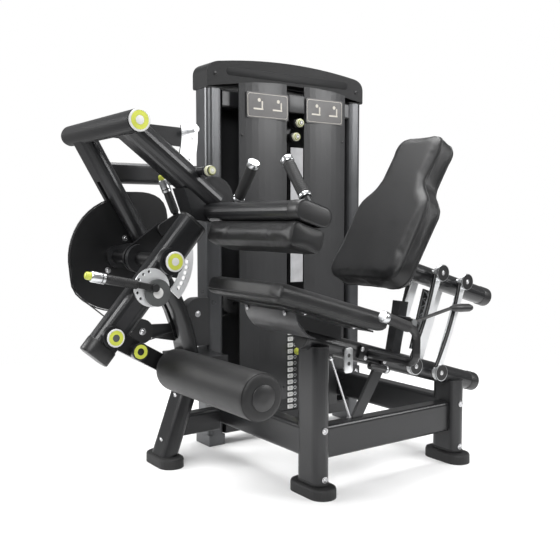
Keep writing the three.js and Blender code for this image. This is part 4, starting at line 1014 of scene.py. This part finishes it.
def upholstery():
    seat_up = Vector((0, math.sin(SEAT_SLOPE), math.cos(SEAT_SLOPE)))
    seat_front = on_plane(SEAT_FRONT, 0)
    seat_under = seat_front - seat_up * (SEAT_DEPTH - 0.0005)
    seat = swell("seat_cushion", "seat_pad", "frame", 0.0055, 0.005, 0.0065, VINYL,
                 (seat_under, -seat_up))
    seat_middle = seat_front + SEAT_DOWN * SEAT_LENGTH / 2 - seat_up * SEAT_DEPTH / 2
    turn = basis_along(seat_up, X)
    rays = ring_rays(seat_middle, turn, -0.012, 0.6, 220)
    seam_on(seat, "seat_cushion_piping", rays, 0.0022, "frame")

    back_up = Vector((0, math.sin(RECLINE), math.cos(RECLINE)))
    behind = Vector((0, math.cos(RECLINE), -math.sin(RECLINE)))
    back_foot = on_plane(BACK_FOOT, 0)
    back_board = back_foot + behind * (BACK_DEPTH - 0.0005)
    back = swell("back_cushion", "back_pad", "backrest", 0.0058, 0.005, 0.0070, VINYL,
                 (back_board, behind))
    back_middle = back_foot + back_up * BACK_LENGTH / 2 + behind * BACK_DEPTH * 0.75
    rays = ring_rays(back_middle, basis_along(behind, X), 0.0, 0.7, 260)
    seam_on(back, "back_cushion_piping", rays, 0.0022, "backrest")
    front_middle = back_foot + back_up * BACK_LENGTH / 2 + behind * 0.020
    rays = ring_rays(front_middle, basis_along(behind, X), 0.0, 0.7, 260)
    seam_on(back, "back_cushion_front_seam", rays, 0.0012, "backrest")

    thigh = swell("thigh_cushion", "thigh_pad", "thigh_hold", 0.005, 0.004, 0.0055, VINYL,
                  (above_pad(0, 0.0388), PAD_UP))
    for x, label in ((-0.229, "right"), (0.213, "left")):
        rays = wrap_rays(above_pad(x, 0), PAD_SIDE, PAD_UP)
        seam_on(thigh, f"thigh_cushion_seam_{label}", rays, 0.0016, "thigh_hold")

    roller = swell("roller_cushion", "foot_roller", "shin_roller", 0.005, 0.003, 0.006, ROLLER_FOAM)
    for x, label in ((-0.242, "inner"), (0.250, "outer")):
        rays = wrap_rays(on_plane(ROLLER, x), Y, Z)
        seam_on(roller, f"roller_seam_{label}", rays, 0.0014, "shin_roller", ROLLER_FOAM)

    def roller_end(bm):
        profile = [(0, 0), (0.036, 0), (0.036, 0.0020), (0.034, 0.0036), (0.010, 0.0042), (0, 0.0042)]
        add_lathe(bm, profile, on_plane(ROLLER, 0.2592), X, 40)
    piece("roller_end_cap", roller_end, "shin_roller", PLASTIC)


# ---------------------------------------------------------------- floor, light and camera

FLOOR_SOLID = 1.2
FLOOR_GONE = 2.6
CAMERA_PLACE = (1.927, -1.509, 0.877)
CAMERA_AZIMUTH = math.radians(54.424)
CAMERA_PITCH = math.radians(4.43)


def floor_paper():
    """White paper that fades into the white surroundings away from the machine."""
    paper = node_material("floor_paper", (0.93, 0.93, 0.93), 0.85)
    vary(paper, (0.93, 0.93, 0.93), 0.01, 2.0)
    nodes = paper.node_tree.nodes
    where = add_node(paper, "ShaderNodeTexCoord")
    reach = add_node(paper, "ShaderNodeVectorMath", operation="LENGTH")
    fade = add_node(paper, "ShaderNodeMapRange", interpolation_type="SMOOTHSTEP",
                    From_Min=FLOOR_SOLID, From_Max=FLOOR_GONE)
    clear = add_node(paper, "ShaderNodeBsdfTransparent")
    blend = add_node(paper, "ShaderNodeMixShader")
    link(paper, where, "Object", reach, 0)
    link(paper, reach, "Value", fade, "Value")
    link(paper, fade, "Result", blend, 0)
    link(paper, nodes["Principled BSDF"], 0, blend, 1)
    link(paper, clear, 0, blend, 2)
    link(paper, blend, 0, nodes["Material Output"], "Surface")
    return paper


def studio_world(scene):
    """White surroundings for the camera, and a dimmer grey that lights the machine."""
    world = bpy.data.worlds.new("studio")
    scene.world = world
    world.use_nodes = True
    tree = world.node_tree
    seen = tree.nodes["Background"]
    seen.inputs["Color"].default_value = (1, 1, 1, 1)
    glow = tree.nodes.new("ShaderNodeBackground")
    glow.inputs["Strength"].default_value = 0.32
    rays = tree.nodes.new("ShaderNodeLightPath")
    mix = tree.nodes.new("ShaderNodeMixShader")
    tree.links.new(rays.outputs["Is Camera Ray"], mix.inputs[0])
    tree.links.new(glow.outputs[0], mix.inputs[1])
    tree.links.new(seen.outputs[0], mix.inputs[2])
    tree.links.new(mix.outputs[0], tree.nodes["World Output"].inputs["Surface"])


def studio():
    scene = bpy.context.scene
    scene.view_settings.view_transform = "Standard"
    bpy.ops.mesh.primitive_plane_add(size=40, location=(0, 0, 0))
    floor = bpy.context.object
    floor.name = "floor"
    floor.data.materials.append(floor_paper())
    studio_world(scene)

    lights = (
        ("key", (3.4, -2.6, 3.2), 2.0, 150, (0, 0.1, 0.7)),
        ("fill", (3.0, 2.8, 2.4), 1.6, 90, (0, 0.2, 0.6)),
        ("left", (-2.2, -3.2, 2.2), 1.6, 100, (-0.2, 0, 0.7)),
        ("top", (-0.3, 0.2, 3.8), 3.0, 230, (0, 0, 0.5)),
    )
    for name, place, size, power, target in lights:
        data = bpy.data.lights.new(name, "AREA")
        data.shape = "SQUARE"
        data.size = size
        data.energy = power
        lamp = bpy.data.objects.new(name, data)
        lamp.location = place
        aim = Vector(target) - Vector(place)
        lamp.rotation_euler = aim.to_track_quat("-Z", "Y").to_euler()
        scene.collection.objects.link(lamp)

    camera_data = bpy.data.cameras.new("camera")
    camera_data.lens = 50
    camera_data.sensor_width = 36
    camera = bpy.data.objects.new("camera", camera_data)
    camera.location = at(*CAMERA_PLACE)
    level = Vector((-math.sin(CAMERA_AZIMUTH), math.cos(CAMERA_AZIMUTH), 0))
    look = level * math.cos(CAMERA_PITCH) - Z * math.sin(CAMERA_PITCH)
    camera.rotation_euler = look.to_track_quat("-Z", "Y").to_euler()
    scene.collection.objects.link(camera)
    scene.camera = camera


dress_frame()
studio()
pivot_rings()
frame_bolts()
end_caps()
grips()
knobs()
stack_tags()
tower_trim()
seat_trim()
link_trim()
upholstery()
